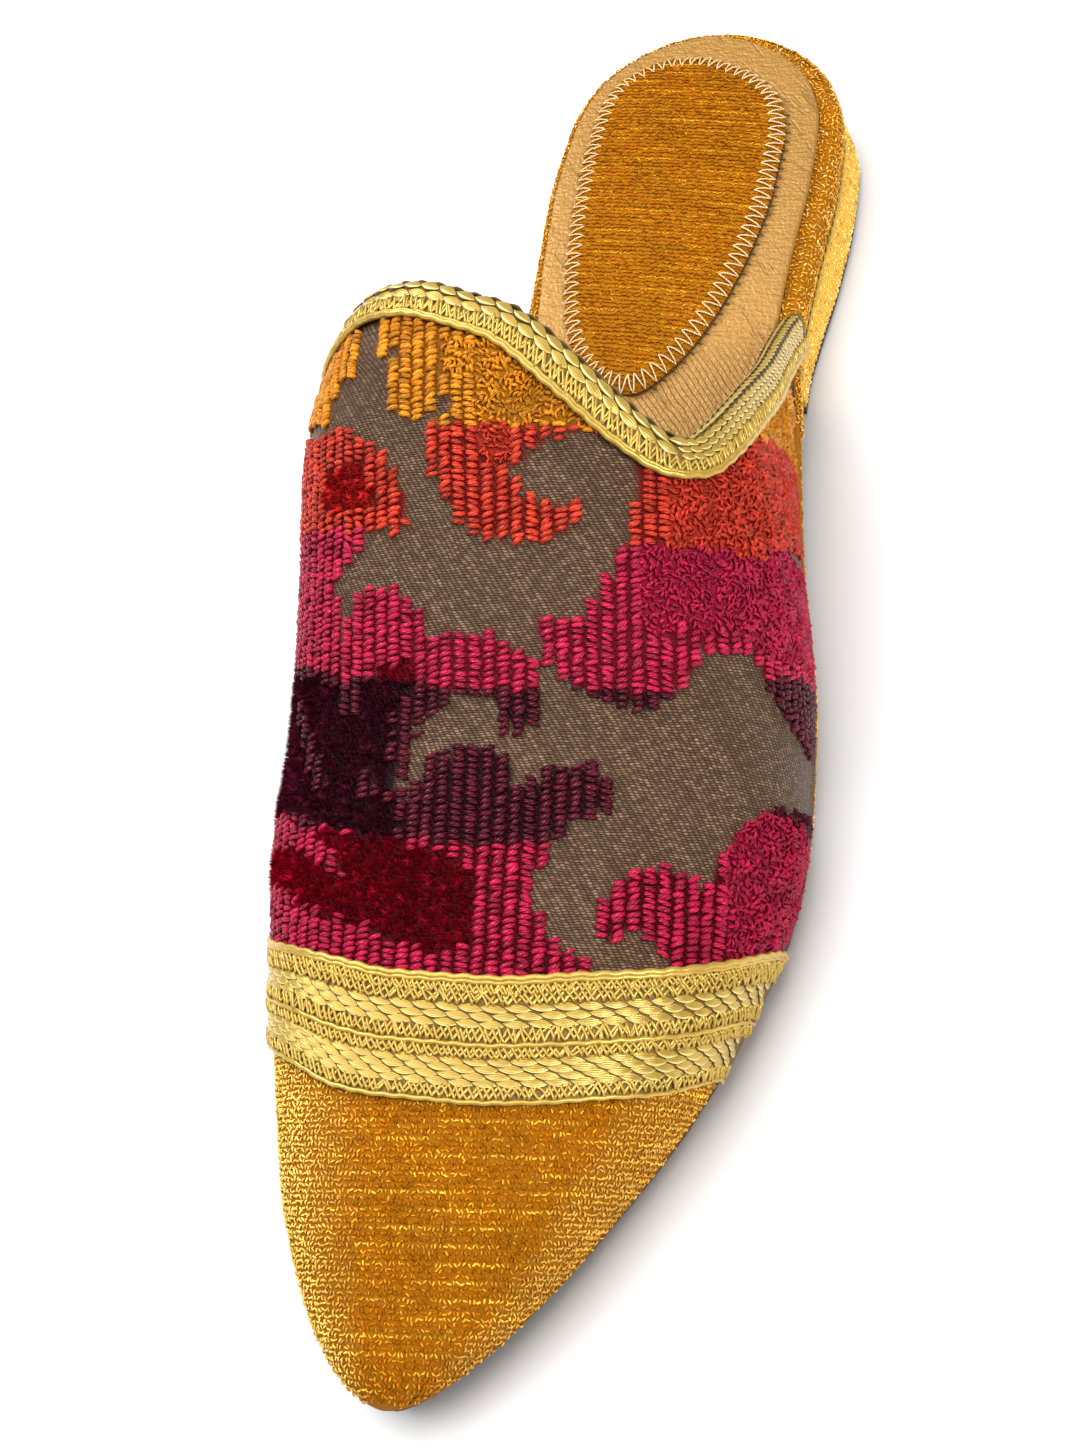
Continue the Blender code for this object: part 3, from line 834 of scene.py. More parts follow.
FLOWER = (
    (-90, 50), (-60, 48.5), (-50, 46.8), (-44, 44.8), (-39.5, 44.2), (-37, 45), (-33.2, 44.8),
    (-32.9, 43.6), (-31.2, 43.2), (-31, 41.6), (-28.8, 41.4), (-28.6, 40.4), (-26.6, 40.2),
    (-26.2, 37.4), (-24.2, 37.2), (-24, 33.8), (-22.2, 33.6), (-22.4, 27), (-24.6, 26.9), (-25.4, 27.6),
    (-27, 27.8), (-29.5, 27.4), (-31, 26.4), (-31.2, 25.4), (-33, 25), (-33.2, 23.2), (-34.4, 22.6),
    (-35.7, 21.6), (-35.8, 18.4), (-34.9, 17.6), (-34.8, 12.4), (-34, 12.4), (-33.7, 15), (-31.8, 15.6),
    (-31.2, 18.2), (-29.6, 18.5), (-29.3, 19.4), (-27.4, 19.4), (-27.2, 18.9), (-23.4, 18.9),
    (-23.1, 17.3), (-21.1, 17.2), (-20.9, 15), (-19.1, 14.7), (-18.9, 11), (-17, 10.8), (-16.8, 11.6),
    (-7.7, 10.9), (-7.5, 9.7), (-5.8, 9.5), (-5.6, 8.4), (-3.6, 8.2), (-3.5, 7), (-1.8, 6.9),
    (-1.6, 3.5), (-0.3, 3.3), (-0.1, -2.4), (-0.6, -3.2), (-2.4, -3.5), (-3.8, -4.6), (-6.7, -4.6),
    (-6.8, -1.4), (-8.2, 0.6), (-10, 1.6), (-14.8, 1.3), (-15, 0.3), (-17.4, 0), (-17.6, -1.4),
    (-19.8, -1.6), (-20, -4.6), (-21.8, -5), (-22.2, -13.3), (-20.6, -13.4), (-20.4, -10.6),
    (-18.1, -10.3), (-17.9, -7.2), (-15.2, -6.8), (-13.6, -5.7), (-8.7, -5.5), (-8.5, -6.7), (-6.8, -7),
    (-4.8, -7.6), (-4.4, -12.3), (-2.6, -12.2), (-2.4, -11.4), (-0.8, -11.2), (-0.6, -9.9), (1.2, -9.6),
    (7.6, -9.3), (7.8, -10.6), (9.6, -11), (10.3, -12.4), (10.3, -17), (7.4, -17.2), (6.8, -18),
    (4.2, -18.2), (3.4, -20.8), (1, -21.2), (1, -25), (-0.9, -25.8), (-1.1, -31.6), (0.6, -31.9),
    (0.7, -34.3), (2.4, -34.6), (2.6, -36.7), (4.5, -37), (5, -38.6), (7, -38.9), (9, -40), (10, -48),
    (-90, -48),
)
LOBE = (
    (13.9, 72), (13.9, 29.4), (12, 28.9), (12, 23.3), (10.2, 22.8), (10.2, 19.2), (8.1, 18.5),
    (8.1, 15.2), (6.1, 14.8), (5.6, 12.9), (-1.7, 12.5), (-1.8, 9.6), (0, 8.6), (0.1, 5.8), (1.8, 5.3),
    (2.4, 3.1), (5.2, 1.3), (8.6, 0), (10.6, -1.4), (17.2, -1.4), (17.6, 0), (19.8, 1.2), (21.7, 3.1),
    (23.1, 5), (23.5, 8.6), (24.2, 8.6), (24.8, 7.3), (26.7, 6.7), (29.5, 7.1), (32.6, 8.2), (33.2, 6.8),
    (34.8, 4.9), (35.9, 3.4), (37.3, 1.2), (40.5, -1), (45, -2.9), (49.7, -3.7), (58, -3.8), (90, -2),
    (90, 72),
)
LOWER_LOBE = (
    (8, -31.6), (10, -29.6), (10.3, -27.6), (12.4, -26.6), (12.6, -25), (16, -24.6), (19.5, -24),
    (19.8, -25), (22, -25), (23.4, -25.5), (24, -27.6), (25.4, -26), (26, -23), (27.5, -21.5), (29, -19),
    (30.5, -16.5), (33, -15.5), (34, -14), (38, -13), (43, -12.5), (54, -11.7), (90, -10), (90, -48),
    (19.2, -48), (19, -39), (18, -37.5), (16.5, -36), (15, -34.5), (13, -34.5), (11.6, -36), (10, -36.5),
    (8.4, -35),
)
BARE = (
    ((47, 27.4), (55, 28.9), (66, 31.4), (66, 28.6), (55, 26.6)),
    ((-62, 24), (-70, 26), (-84, 22), (-84, 2), (-74, -4), (-65, 3), (-60, 13)),
)
CUT = (
    (
        (-40, 36), (-36, 38.6), (-31, 38), (-28.4, 35.6), (-28, 32.6), (-31, 31.3), (-37, 31),
        (-40, 32.6),
    ),
    ((-29.5, 5.2), (-27.5, 6.9), (-24, 7.4), (-21.5, 6.9), (-20.2, 5), (-21, 3.7), (-25, 4.4)),
    (
        (-90, 7), (-46, 7.6), (-40, 7), (-36, 5), (-30, 4.7), (-26, 5.6), (-22.4, 4), (-21.6, 2),
        (-22.6, 0.4), (-24.6, -1), (-25, -8), (-24.4, -12), (-23, -16), (-22.4, -19.4), (-27, -19.2),
        (-33, -17.3), (-38, -15), (-45, -12), (-90, -9),
    ),
    (
        (-36, -17.4), (-30, -19), (-25, -19.6), (-20, -21), (-15, -22.4), (-11, -25), (-10, -30),
        (-9.4, -34.5), (-12, -38.4), (-18, -37.4), (-24, -34.6), (-28, -32.8), (-35.5, -30),
        (-40, -27.5), (-47, -23), (-90, -20), (-90, -15), (-45, -15),
    ),
)
UNCUT = (
    (
        (-47, 4.2), (-44.4, 4), (-41, -1), (-37.4, -6), (-35.2, -10), (-37.6, -11), (-40, -7.4),
        (-43.6, -1.4),
    ),
    ((-34.8, 5), (-30.4, 5), (-30.6, 0), (-34.6, 0)),
    ((-30, -8), (-27, -8), (-26.6, -13), (-30, -13)),
    (
        (-52, -11), (-44, -13.4), (-38, -17), (-33, -21), (-30.6, -25.4), (-33.6, -24.6), (-37, -21.4),
        (-42, -18.6), (-52, -17.4),
    ),
)
CRUSHED = (
    ((-15.6, 58), (-10.2, 55), (-10.2, 50.5), (-15.4, 51.5)),
    ((-10.2, 56), (-10.4, 43), (-8.8, 36.6), (-4.4, 36.6), (-4.4, 42), (3, 42.4), (10, 40), (10, 56)),
    ((18.6, 60), (18.4, 23), (90, 23), (90, 72)),
    ((14.4, 23.4), (13.8, 12), (17, 9), (21, 12), (24, 10), (30, 11), (36, 8), (90, 7), (90, 32)),
    ((27, -13), (90, -9), (90, -48), (32, -48), (27.6, -30)),
)
DYES = {
    "orange": (0.86, 0.33, 0.012), "red": (0.72, 0.055, 0.024), "magenta": (0.56, 0.016, 0.070),
    "plum": (0.100, 0.006, 0.018), "crimson": (0.51, 0.011, 0.060),
}
CUT_DYES = {
    "orange": (0.6, 0.2, 0.015), "red": (0.34, 0.012, 0.01), "magenta": (0.30, 0.008, 0.022),
    "plum": (0.036, 0.004, 0.011), "crimson": (0.15, 0.001, 0.007),
}
DYE_TINTS, CUT_TINTS = np.array(list(DYES.values())), np.array(list(CUT_DYES.values()))
CHANGES = (
    (
        (-90, 49), (-50, 47.5), (-39, 45.6), (-18, 43.4), (-5, 42.4), (0, 41.4), (9, 41), (30, 41),
        (39, 44), (50, 51), (62, 58), (90, 66),
    ),
    (
        (-90, 32), (-50, 30.3), (-38, 29.2), (-31, 28), (-24, 25.6), (-15, 23.4), (12, 23.4), (36, 23.2),
        (40, 25.5), (62, 30), (90, 33),
    ),
    (
        (-90, 10), (-50, 9.3), (-40, 8), (-35, 5.6), (-29, 5.3), (-20.5, 4), (-16, 3), (-12, 2.3),
        (0, 2.2), (9, 1.2), (19, 1.2), (30, 2), (36, 4.8), (45, 6), (90, 8),
    ),
    (
        (-90, -8.5), (-50, -10.6), (-45, -12.8), (-40, -15.1), (-33, -17.7), (-25, -19.3), (-16, -20.7),
        (-10, -21.5), (10, -21), (30, -14), (45, -15), (90, -14),
    ),
)


def inside_of(outline, u, v):
    """True where a place is inside a closed outline."""
    found = np.zeros(u.shape, bool)
    for (u0, v0), (u1, v1) in zip(outline, outline[1:] + outline[:1]):
        with np.errstate(divide="ignore", invalid="ignore"):
            found ^= ((v0 > v) != (v1 > v)) & (u < (u1 - u0) * (v - v0) / (v1 - v0) + u0)
    return found


def inside_any(outlines, u, v):
    return np.any([inside_of(outline, u, v) for outline in outlines], axis=0)


def figured(u, v):
    """True in the scrolls, but not where they are left bare."""
    return inside_any((SCROLL, COLLAR_LEAF, FLOWER, LOBE, LOWER_LOBE), u, v) & ~inside_any(BARE, u, v)


def dye_at(u, v, ragged=0.0):
    """Number of the dye at a place: the changes run across the cloth, a little ragged."""
    return sum(v + ragged < np.interp(u, *np.array(change).T) for change in CHANGES)


# %% Which parts of the cloth carry pile
COLUMN, FIRST_COLUMN, STEP, BINDING_REACH = 2.25, 0.3, 0.93, 5.0
edge_angles = np.linspace(0, 180, 500)
collar_edge = upper_point(collar(edge_angles), edge_angles)
dice = np.random.default_rng(11)


def pile_mask(u, v):
    """Places in the scrolls, on the foot, and clear of the braids."""
    d, degrees, there = laid(u, v)
    place = upper_point(d, degrees)
    reach = np.min([np.linalg.norm(place - p, axis=-1) for p in collar_edge], axis=0)
    clear = (reach > BINDING_REACH) & (d < collar(degrees)) & (d > band["back"](degrees) - 0.6)
    return there & clear & figured(u, v)


def cut_open(u, v, ragged):
    """Places whose loops are cut, with a ragged border."""
    ragged_u = u + dice.normal(0, ragged, u.shape)
    ragged_v = v + dice.normal(0, ragged, v.shape)
    return inside_any(CUT, ragged_u, ragged_v) & ~inside_any(UNCUT, u, v)


def scattered(u_range, v_range, by):
    """Places in rows and columns of the cloth, each moved a little."""
    u, v = np.meshgrid(np.arange(*u_range), np.arange(*v_range), indexing="ij")
    u = u + dice.uniform(-by, by, u.shape)
    return u, v + dice.uniform(-by, by, v.shape)


columns = np.arange(-37, 36) * COLUMN + FIRST_COLUMN
steps = np.arange(-53, 98) * STEP
U, V = np.meshgrid(columns, steps, indexing="ij")
V = V + dice.uniform(0, STEP, len(columns))[:, None] + dice.normal(0, 0.07, V.shape)
U = U + dice.normal(0, 0.07, U.shape)
in_columns = pile_mask(U, V) & ~cut_open(U, V, 0.5) & ~inside_any(CRUSHED, U, V)
U2, V2 = scattered((-16, 90, 0.80), (-48, 72, 0.86), 0.4)
tumbled = pile_mask(U2, V2) & inside_any(CRUSHED, U2, V2) & ~inside_any(CUT, U2, V2)
print(int(in_columns.sum()), "loops in columns,", int(tumbled.sum()), "crushed loops")

# %% Dye the cloth under the pile, darkened as painted shade between the loops
corner_uv = np.empty(len(vamp.data.loops) * 2, np.float32)
vamp.data.uv_layers[0].data.foreach_get("uv", corner_uv)
bed_u, bed_v = corner_uv.reshape(-1, 2).T
sides = ((0.7, 0), (-0.7, 0), (0, 0.7), (0, -0.7))
under = np.min([figured(bed_u + du, bed_v + dv) for du, dv in sides], axis=0)
bed_dye = dye_at(bed_u, bed_v)
dense = inside_any(CRUSHED, bed_u, bed_v)[:, None]
# The bed takes the dye of the pile above it, darkened to half or less: painted shade deep between the loops.
bed_dye_and_shade = np.where(dense, DYE_TINTS[bed_dye] * 0.5, CUT_TINTS[bed_dye] * 0.4)
attach(vamp.data, "bed", "FLOAT_COLOR", np.concatenate([bed_dye_and_shade, under[:, None]], 1), "CORNER")


# %% Plant the loops
def column_of(u):
    return np.round((u - FIRST_COLUMN) / COLUMN)


def plant_loops(u, v, ending, shape, slant, sizes, shades, shake, seed):
    """Loops at places of the cloth, turned by a slant each, one piece for each group of dyes."""
    place, warp_way, out = cloth_frame(u, v)
    slant = slant[:, None]
    warp_way = np.cos(slant) * warp_way + np.sin(slant) * np.cross(out, warp_way)
    dye = dye_at(u, v, 0.5 * np.sin(column_of(u) * 2.4))
    tints = DYE_TINTS[dye] * shades[:, None]
    for label, group in (("warm", (0, 1)), ("magenta", (2,)), ("dark", (3, 4))):
        part = np.isin(dye, group)
        chosen = [values[part] for values in (place - out * CLOTH_DEPTH, out, warp_way, sizes, tints)]
        belongs(planted(f"{label}_{ending}", shape, *chosen, yarn.material, shake, seed))


u, v = U[in_columns], V[in_columns]
column = column_of(u)
slant = np.where(np.sin(column * 7.7) > -0.45, 20, -14) + 7 * np.sin(column * 3.1)
slant = slant + dice.normal(0, 11, len(u))
sizes = dice.uniform(0.85, 1.15, (len(u), 3))
shades = dice.uniform(0.60, 1.30, len(u))
plant_loops(u, v, "loops", pile_loop, np.radians(slant), sizes, shades, (0.16, 0.16, 0.0), 4)

# %% Plant the crushed loops, which lie in fans
CLUMP = 4.4
u, v = U2[tumbled], V2[tumbled]
centre_u, centre_v = [c.ravel() for c in scattered((-16, 92, CLUMP), (-50, 72, CLUMP), 1.5)]
near = np.argmin((u[:, None] - centre_u) ** 2 + (v[:, None] - centre_v) ** 2, axis=1)
off_u, off_v = u - centre_u[near], v - centre_v[near]
tilt = dice.uniform(0, 2 * np.pi, len(centre_u))[near]
fan = np.arctan2(off_v + 2.6 * np.sin(tilt), off_u + 2.6 * np.cos(tilt)) + dice.normal(0, 0.8, len(u))
dome = np.clip(1 - np.hypot(off_u, off_v) / (0.75 * CLUMP), 0, 1)
widths = dice.uniform(0.8, 1.25, len(u))
heights = 0.8 + 0.9 * dome + dice.uniform(-0.15, 0.15, len(u))
# Painted shade: loops are darker towards the edge of their clump and brighter on its top, over a random tone.
shades = (0.72 + 0.55 * dome) * dice.uniform(0.8, 1.25, len(u))
sizes = np.stack([widths, np.ones(len(u)), heights], -1)
plant_loops(u, v, "crushed", crushed_loop, -fan, sizes, shades, (0.25, 0.25, 0.3), 5)


# %% Plant the cut velvet
def tall(heights):
    """Sizes of small shapes that differ in height alone."""
    return np.stack([np.ones(len(heights)), np.ones(len(heights)), heights], -1)


U3, V3 = scattered((-86, -8, 0.66), (-48, 40, 0.64), 0.25)
velvet = pile_mask(U3, V3) & cut_open(U3, V3, 0.6)
u, v = U3[velvet], V3[velvet]
place, warp_way, out = cloth_frame(u, v)
dye = dye_at(u, v)
dye = np.where((dye == 2) & (u > -31), 4, dye)
tints = CUT_TINTS[dye] * dice.uniform(0.3, 1.6, (len(dye), 1))
sizes = tall(dice.uniform(1.2, 1.75, len(dye)))
# Painted glints: about one tuft in ten is painted three times brighter, as if it caught the light.
painted_glint = dice.uniform(0, 1, (len(dye), 1)) > 0.9
tints = np.where(painted_glint, tints * (3.0, 3.0, 3.6) + (0.014, 0.002, 0.004), tints)
cut_pile = planted(
    "cut_velvet", cut_tuft, place - out * CLOTH_DEPTH, out, warp_way, sizes, tints,
    velvet_nap.material, (0.22, 0.22, 3.1), 8,
)
belongs(cut_pile)

# %% [markdown]
# ## The chenille toe
#
# The toe cap is cut from an ochre chenille with fine ribs across it. The cap itself is a shell that
# ends under the band. Its nap is planted rib by rib: each rib is a slice across the toe, and small
# curls stand along it. Some ribs are paler, which gives the light streaks of the cloth. Where the toe
# turns down to its sides the nap is painted paler, a painted sheen of the nap seen edge on.

# %% Toe cap and its ground
NAP_DEPTH = 0.75
ochre = mottled(
    "ochre_ground", 1400.0, 3.0, (0.24, 0.078, 0.001), (0.42, 0.155, 0.003), (0.6, 0.0003),
    Roughness=0.85, Specular_IOR_Level=0.1,
)
along_toe = (front_line + 6) * np.linspace(0, 1, 41)[:, None] ** 1.6
outside = upper_point(along_toe, over[None], NAP_DEPTH)
inside = upper_point(along_toe, within[None], WALL)
toe_cap = shell("toe_cap", outside, inside, outside[..., :2], (ochre.material, lining.material))
belongs(toe_cap)

# %% Nap in ribs
RIB_WAY = unit(np.array([-0.097, 0.92, 0.34]))
OCHRE, OCHRE_PALE, OCHRE_SHEEN = np.array([[0.46, 0.150, 0.001], [0.84, 0.46, 0.035], [1.0, 0.70, 0.15]])
STREAK_EVERY = 3


def run_of(line):
    """Length of a line of points up to each of them."""
    return np.concatenate([[0], np.cumsum(np.linalg.norm(np.diff(line, axis=0), axis=1))])


def spaced(line, length, at):
    """Points of a line at given lengths along it."""
    return np.stack([np.interp(at, length, column) for column in line.T], -1)


def ribs_over(grid, pitch, spacing, way, seed):
    """Places along slices of a grid of points, and for each the number of its slice."""
    dice = np.random.default_rng(seed)
    level = grid @ way
    places, numbers = [], []
    for number, height in enumerate(np.arange(level.min() + 0.4, level.max(), pitch)):
        line = []
        for k in range(grid.shape[1]):
            column = level[:, k]
            hit = np.nonzero((column[:-1] - height) * (column[1:] - height) <= 0)[0]
            if len(hit):
                i = hit[0]
                share = (height - column[i]) / (column[i + 1] - column[i] + 1e-9)
                line.append(grid[i, k] * (1 - share) + grid[i + 1, k] * share)
        if len(line) < 3:
            continue
        line = np.array(line)
        length = run_of(line)
        at = np.arange(dice.uniform(0, spacing), length[-1], spacing)
        at = np.clip(at + dice.uniform(-0.25, 0.25, len(at)) * spacing, 0, length[-1])
        places.append(spaced(line, length, at) + way * dice.uniform(-0.2, 0.2, (len(at), 1)) * pitch)
        numbers.append(np.full(len(at), number))
    return np.concatenate(places), np.concatenate(numbers)


def rib_tints(numbers, along, seed, dark, pale, even=False):
    """A tint for each curl: mottled all over, with broken pale lines on every third rib or so."""
    dice = np.random.default_rng(seed)
    ribs = numbers.max() + 1
    phase = dice.uniform(0, 2 * np.pi, (ribs, 3))[numbers].T
    wave = np.sin(along * 0.21 + phase[0]) + np.sin(along * 0.47 + phase[1])
    wave = wave + 0.7 * np.sin(along * 1.1 + phase[2])
    shift = 0 if even else dice.integers(0, 2, ribs)
    streaked = ((np.arange(ribs) + shift) % STREAK_EVERY == 0)[numbers]
    streaks = np.clip(0.4 * (wave + (1.1 if even else 0.5)), 0, 0.85) * streaked
    pale_share = np.clip(streaks + 0.7 * dice.uniform(0, 1, len(numbers)) ** 4, 0, 0.9)[:, None]
    patches = 1 + 0.16 * np.sin(0.33 * along + 0.21 * numbers) * np.sin(0.13 * numbers - 0.12 * along + 1.0)
    shade = dice.normal(1.0, 0.08, ribs)[numbers] * (1 + 0.06 * wave) * patches
    shade = shade * dice.uniform(0.62, 1.3, len(numbers))
    return (dark * (1 - pale_share) + pale * pale_share) * shade[:, None]


fine_over = np.linspace(-INNER_LAP, 180 + INNER_LAP, 244)
toe_d = np.linspace(0.02, 1, 220)[:, None] ** 1.4 * (band["front"](fine_over) + 1.5)
toe_grid = upper_point(toe_d, fine_over[None], NAP_DEPTH)
place, numbers = ribs_over(toe_grid, 0.82, 0.66, RIB_WAY, 21)
off_tip = place[:, 1] > 1.2
place, numbers = place[off_tip], numbers[off_tip]
toe_normals = unit(np.cross(np.gradient(toe_grid, axis=0), np.gradient(toe_grid, axis=1))).reshape(-1, 3)
toe_tree = tree_of(toe_grid.reshape(-1, 3))
out = toe_normals[[toe_tree.find(p)[1] for p in place]]
way = unit(RIB_WAY - (out @ RIB_WAY)[:, None] * out)
dice = np.random.default_rng(22)
sizes = tall(dice.uniform(0.6, 1.2, len(place)))
tints = rib_tints(numbers, place[:, 0], 23, OCHRE * (0.92, 0.84, 0.5), OCHRE_PALE, True)
# Painted sheen: the nap is painted paler where it faces the inner side, and a little on the outer rim.
inner_sheen = np.clip((-out[:, 0] - 0.02) / 0.45, 0, 0.95)
outer_sheen = np.clip((out[:, 0] - 0.6) / 0.4, 0, 0.4)
painted_sheen = np.maximum(inner_sheen, outer_sheen)[:, None]
tints = tints * (1 - painted_sheen) + painted_sheen * OCHRE_SHEEN * dice.uniform(0.65, 1.25, (len(place), 1))
toe_nap = planted("toe_nap", nap_curl, place, out, way, sizes, tints, ochre_nap.material, (0.4, 0.4, 2.4), 24)
belongs(toe_nap)

# %% [markdown]
# ## Insole, rand and heel
#
# Under the foot lies an insole of gilded leather. Below its edge runs the rand, a roll of the same
# chenille as the toe, and under a sewn line the heel is covered with a paler velvet.


# %% Layers with round edges
INSOLE_INSET, INSOLE_ROUND, RAND_ROUND = 2.8, 0.5, 1.9


def eased(count):
    """Shares from 0 to 1 that lie closer together at both ends."""
    return (1 - np.cos(np.linspace(0, np.pi, count))) / 2


def lined(x, y, z):
    """Points from three coordinates, each a number or a whole line of them."""
    return np.stack(np.broadcast_arrays(x, y, z), -1)


def layer(name, edges, low, high, material, round_by, steps):
    """A layer that follows the sole, its edge rounded by a radius of its own."""
    turn = np.linspace(-np.pi / 2, np.pi / 2, steps + 1)
    swing = np.sign(np.sin(turn)) * np.abs(np.sin(turn)) ** 0.75
    rings = []
    for at in LENGTH * eased(140):
        y, medial, lateral = edges(at)
        z0, z1 = low(y), high(y)
        full = np.clip((lateral - medial) / 8.0, 0, 1)
        z = (z0 + z1) / 2 + (z1 - z0) / 2 * swing
        out = -round_by * full * (1 - np.cos(turn) ** 0.75)
        inner = np.linspace(0.92, -0.92, 13) * (lateral - medial) / 2
        middle = (lateral + medial) / 2
        outer_edge, inner_edge = lined(lateral + out, y, z), lined(medial - out, y, z)
        top, under = lined(middle + inner, y, z1), lined(middle + inner[::-1], y, z0)
        rings.append(np.concatenate([outer_edge, top, inner_edge[::-1], under]))
    rings = np.array(rings)
    size = rings.shape[1]
    faces = quads(len(rings), size, closed=True)
    for row in (0, len(rings) - 1):
        if np.ptp(rings[row, :, 0]) > 0.05:
            faces.append(tuple(range(row * size, (row + 1) * size)))
    mesh = mesh_of(name, rings.reshape(-1, 3), faces, rings[..., :2].reshape(-1, 2))
    return piece_of(name, tidy(mesh), material)


# %% Gilded insole
FOLD_PITCH, FOLD_ACROSS, FOLD_ALONG = 0.95, 0.798, 0.603
gilt = Finish("gilded_leather", Roughness=0.42, Metallic=0.3, Specular_IOR_Level=0.4)
place_uv = gilt.add("UVMap").outputs[0]
pebbles = {"Vector": gilt.stretched(place_uv, (1.0, 0.8, 1)), "Scale": 1.9}
pebble = gilt.add("TexVoronoi", pebbles, feature="SMOOTH_F1").outputs[0]
crease = gilt.noise(gilt.stretched(place_uv, (0.5, 1.6, 1)), 0.8, 4.0)
split = gilt.add("SeparateXYZ", {0: place_uv}).outputs
slanted = gilt.times_plus(split[0], FOLD_ACROSS, split[1], FOLD_ALONG)
length_way = gilt.times_plus(split[0], FOLD_ALONG, split[1], -FOLD_ACROSS)
waver = gilt.math("MULTIPLY", gilt.noise(place_uv, 0.12), 1.5)
hatch = gilt.math("SINE", gilt.math("MULTIPLY", gilt.math("ADD", slanted, waver), 2 * np.pi / FOLD_PITCH))
before_heel = gilt.math("SUBTRACT", 1.0, gilt.ramp(split[1], 180.0, 194.0))
fold = gilt.math("MULTIPLY", gilt.ramp(hatch, 0.82, 1.0), before_heel)
stroke = (gilt.math("MULTIPLY", slanted, 0.5), gilt.math("MULTIPLY", length_way, 0.09))
strokes = gilt.add("CombineXYZ", dict(enumerate(stroke))).outputs[0]
crack = gilt.math("MULTIPLY", gilt.ramp(gilt.noise(strokes, 1.0, 3.0), 0.58, 0.66), 0.4)
fold = gilt.math("MAXIMUM", fold, crack)
raised = gilt.math("ADD", gilt.math("MULTIPLY", pebble, 0.55), crease)
tone = gilt.mix(crease, (0.32, 0.155, 0.030), (0.49, 0.262, 0.060))
gilt.colour(gilt.mix(gilt.math("MULTIPLY", fold, 0.7), tone, (0.20, 0.10, 0.03)))
gilt.bump(gilt.math("SUBTRACT", raised, gilt.math("MULTIPLY", fold, 0.9)), 0.7, 0.00045)


def insole_edges(d):
    share = np.clip((d - 192.0) / 16.0, 0, 1)
    return drawn_plan(d, INSOLE_INSET - 1.3 * share, INSOLE_INSET)


def insole_low(d):
    return midsole_top(d) + GAP


insole = layer("insole_leather", insole_edges, insole_low, insole_top, gilt.material, INSOLE_ROUND, 6)
belongs(insole, "insole")


# %% Rand
def rand_edges(d):
    y, medial, lateral = drawn_plan(d, plan["tuck"](d), plan["tuck"](d))
    return y, medial - plan["roll"](d), lateral + plan["roll"](d)


def rand_low(d):
    return outsole_top(d) + GAP


rand = layer("rand", rand_edges, rand_low, midsole_top, ochre.material, RAND_ROUND, 10)
belongs(rand, "midsole")
print("insole and rand", len(insole.data.polygons), len(rand.data.polygons), "faces")

# %% Nap on the rand
HEEL_RUN, HEEL_HALF = 88.0, 27.0
RAND_TONES = np.array([[0.72, 0.34, 0.02], [0.90, 0.62, 0.22]])


def heel_line(first, d, outset, setback, height):
    """A line round the heel from the outer side to the inner one, let out by an outset."""
    medial, lateral = plan["medial"](d), plan["lateral"](d)
    middle, reach = (medial + lateral) / 2, (lateral - medial) / 2
    y = first + (d - first) * (1 + setback / HEEL_RUN)
    reach = reach * (1 + outset / HEEL_HALF)
    return np.concatenate([lined(middle + reach, y, height), lined(middle - reach, y, height)[-2::-1]])


def side_grid(first, profile, stations=260):
    """A strip round the heel; at a share of its height the profile gives outset and height."""
    d = first + (LENGTH - first) * np.sin(np.linspace(0, np.pi / 2, stations))
    rows = []
    for share in np.linspace(0, 1, 15):
        outset, height = profile(share, d)
        rows.append(heel_line(first, d, outset, outset * 0.6, height))
    return np.array(rows)


def nap_over(name, grid, pitch, spacing, tallness, tones, seed, finish=ochre_nap):
    """Curls scattered in rows over a strip."""
    dice = np.random.default_rng(seed)
    run, across = run_of(grid[len(grid) // 2]), run_of(grid[:, grid.shape[1] // 3])
    s, t = np.meshgrid(np.arange(0.3, run[-1], pitch), np.arange(0.2, across[-1], spacing), indexing="ij")
    numbers = np.broadcast_to(np.arange(len(s))[:, None], s.shape).ravel()
    s = (s + dice.uniform(-0.3, 0.3, s.shape) * pitch).ravel()
    t = (t + dice.uniform(-0.3, 0.3, t.shape) * spacing).ravel()
    k, i = np.interp(s, run, np.arange(len(run))), np.interp(t, across, np.arange(len(across)))
    place = between(grid, i, k)
    k0, i0 = np.minimum(k.astype(int), grid.shape[1] - 2), np.minimum(i.astype(int), len(grid) - 2)
    forward = unit(grid[i0, k0 + 1] - grid[i0, k0])
    out = unit(np.cross(forward, unit(grid[i0 + 1, k0] - grid[i0, k0])))
    sizes = tall(tallness * dice.uniform(0.75, 1.2, len(place)))
    tints = rib_tints(numbers, t * 6, seed + 1, *tones)
    shake = (0.3, 0.3, 1.6)
    nap = planted(name, nap_curl, place, out, forward, sizes, tints, finish.material, shake, seed + 2)
    belongs(nap)


def rand_profile(share, d):
    low, high = rand_low(d), midsole_top(d)
    over = np.clip(share - 0.76, 0, 1) * 12.0
    turn = np.clip((share * 1.32 - 0.5) * np.pi, -np.pi / 2, np.pi / 2)
    height = (low + high) / 2 + (high - low) / 2 * np.sin(turn)
    return 0.7 - RAND_ROUND * (1 - np.cos(turn) ** 0.75) - over, height


def rand_flank(side):
    """One flank of the rand in front of the heel, where the upper laps over its head."""
    y, medial, lateral = rand_edges(np.linspace(5, 178, 200))
    low, high = rand_low(y), midsole_top(y)
    rows = []
    for turn in np.linspace(-1.2, 0.45, 15):
        x = (lateral if side > 0 else medial) - side * RAND_ROUND * (1 - np.cos(turn) ** 0.75)
        rows.append(lined(x, y, (low + high) / 2 + (high - low) / 2 * np.sin(turn)))
    return np.array(rows)[:, ::side]


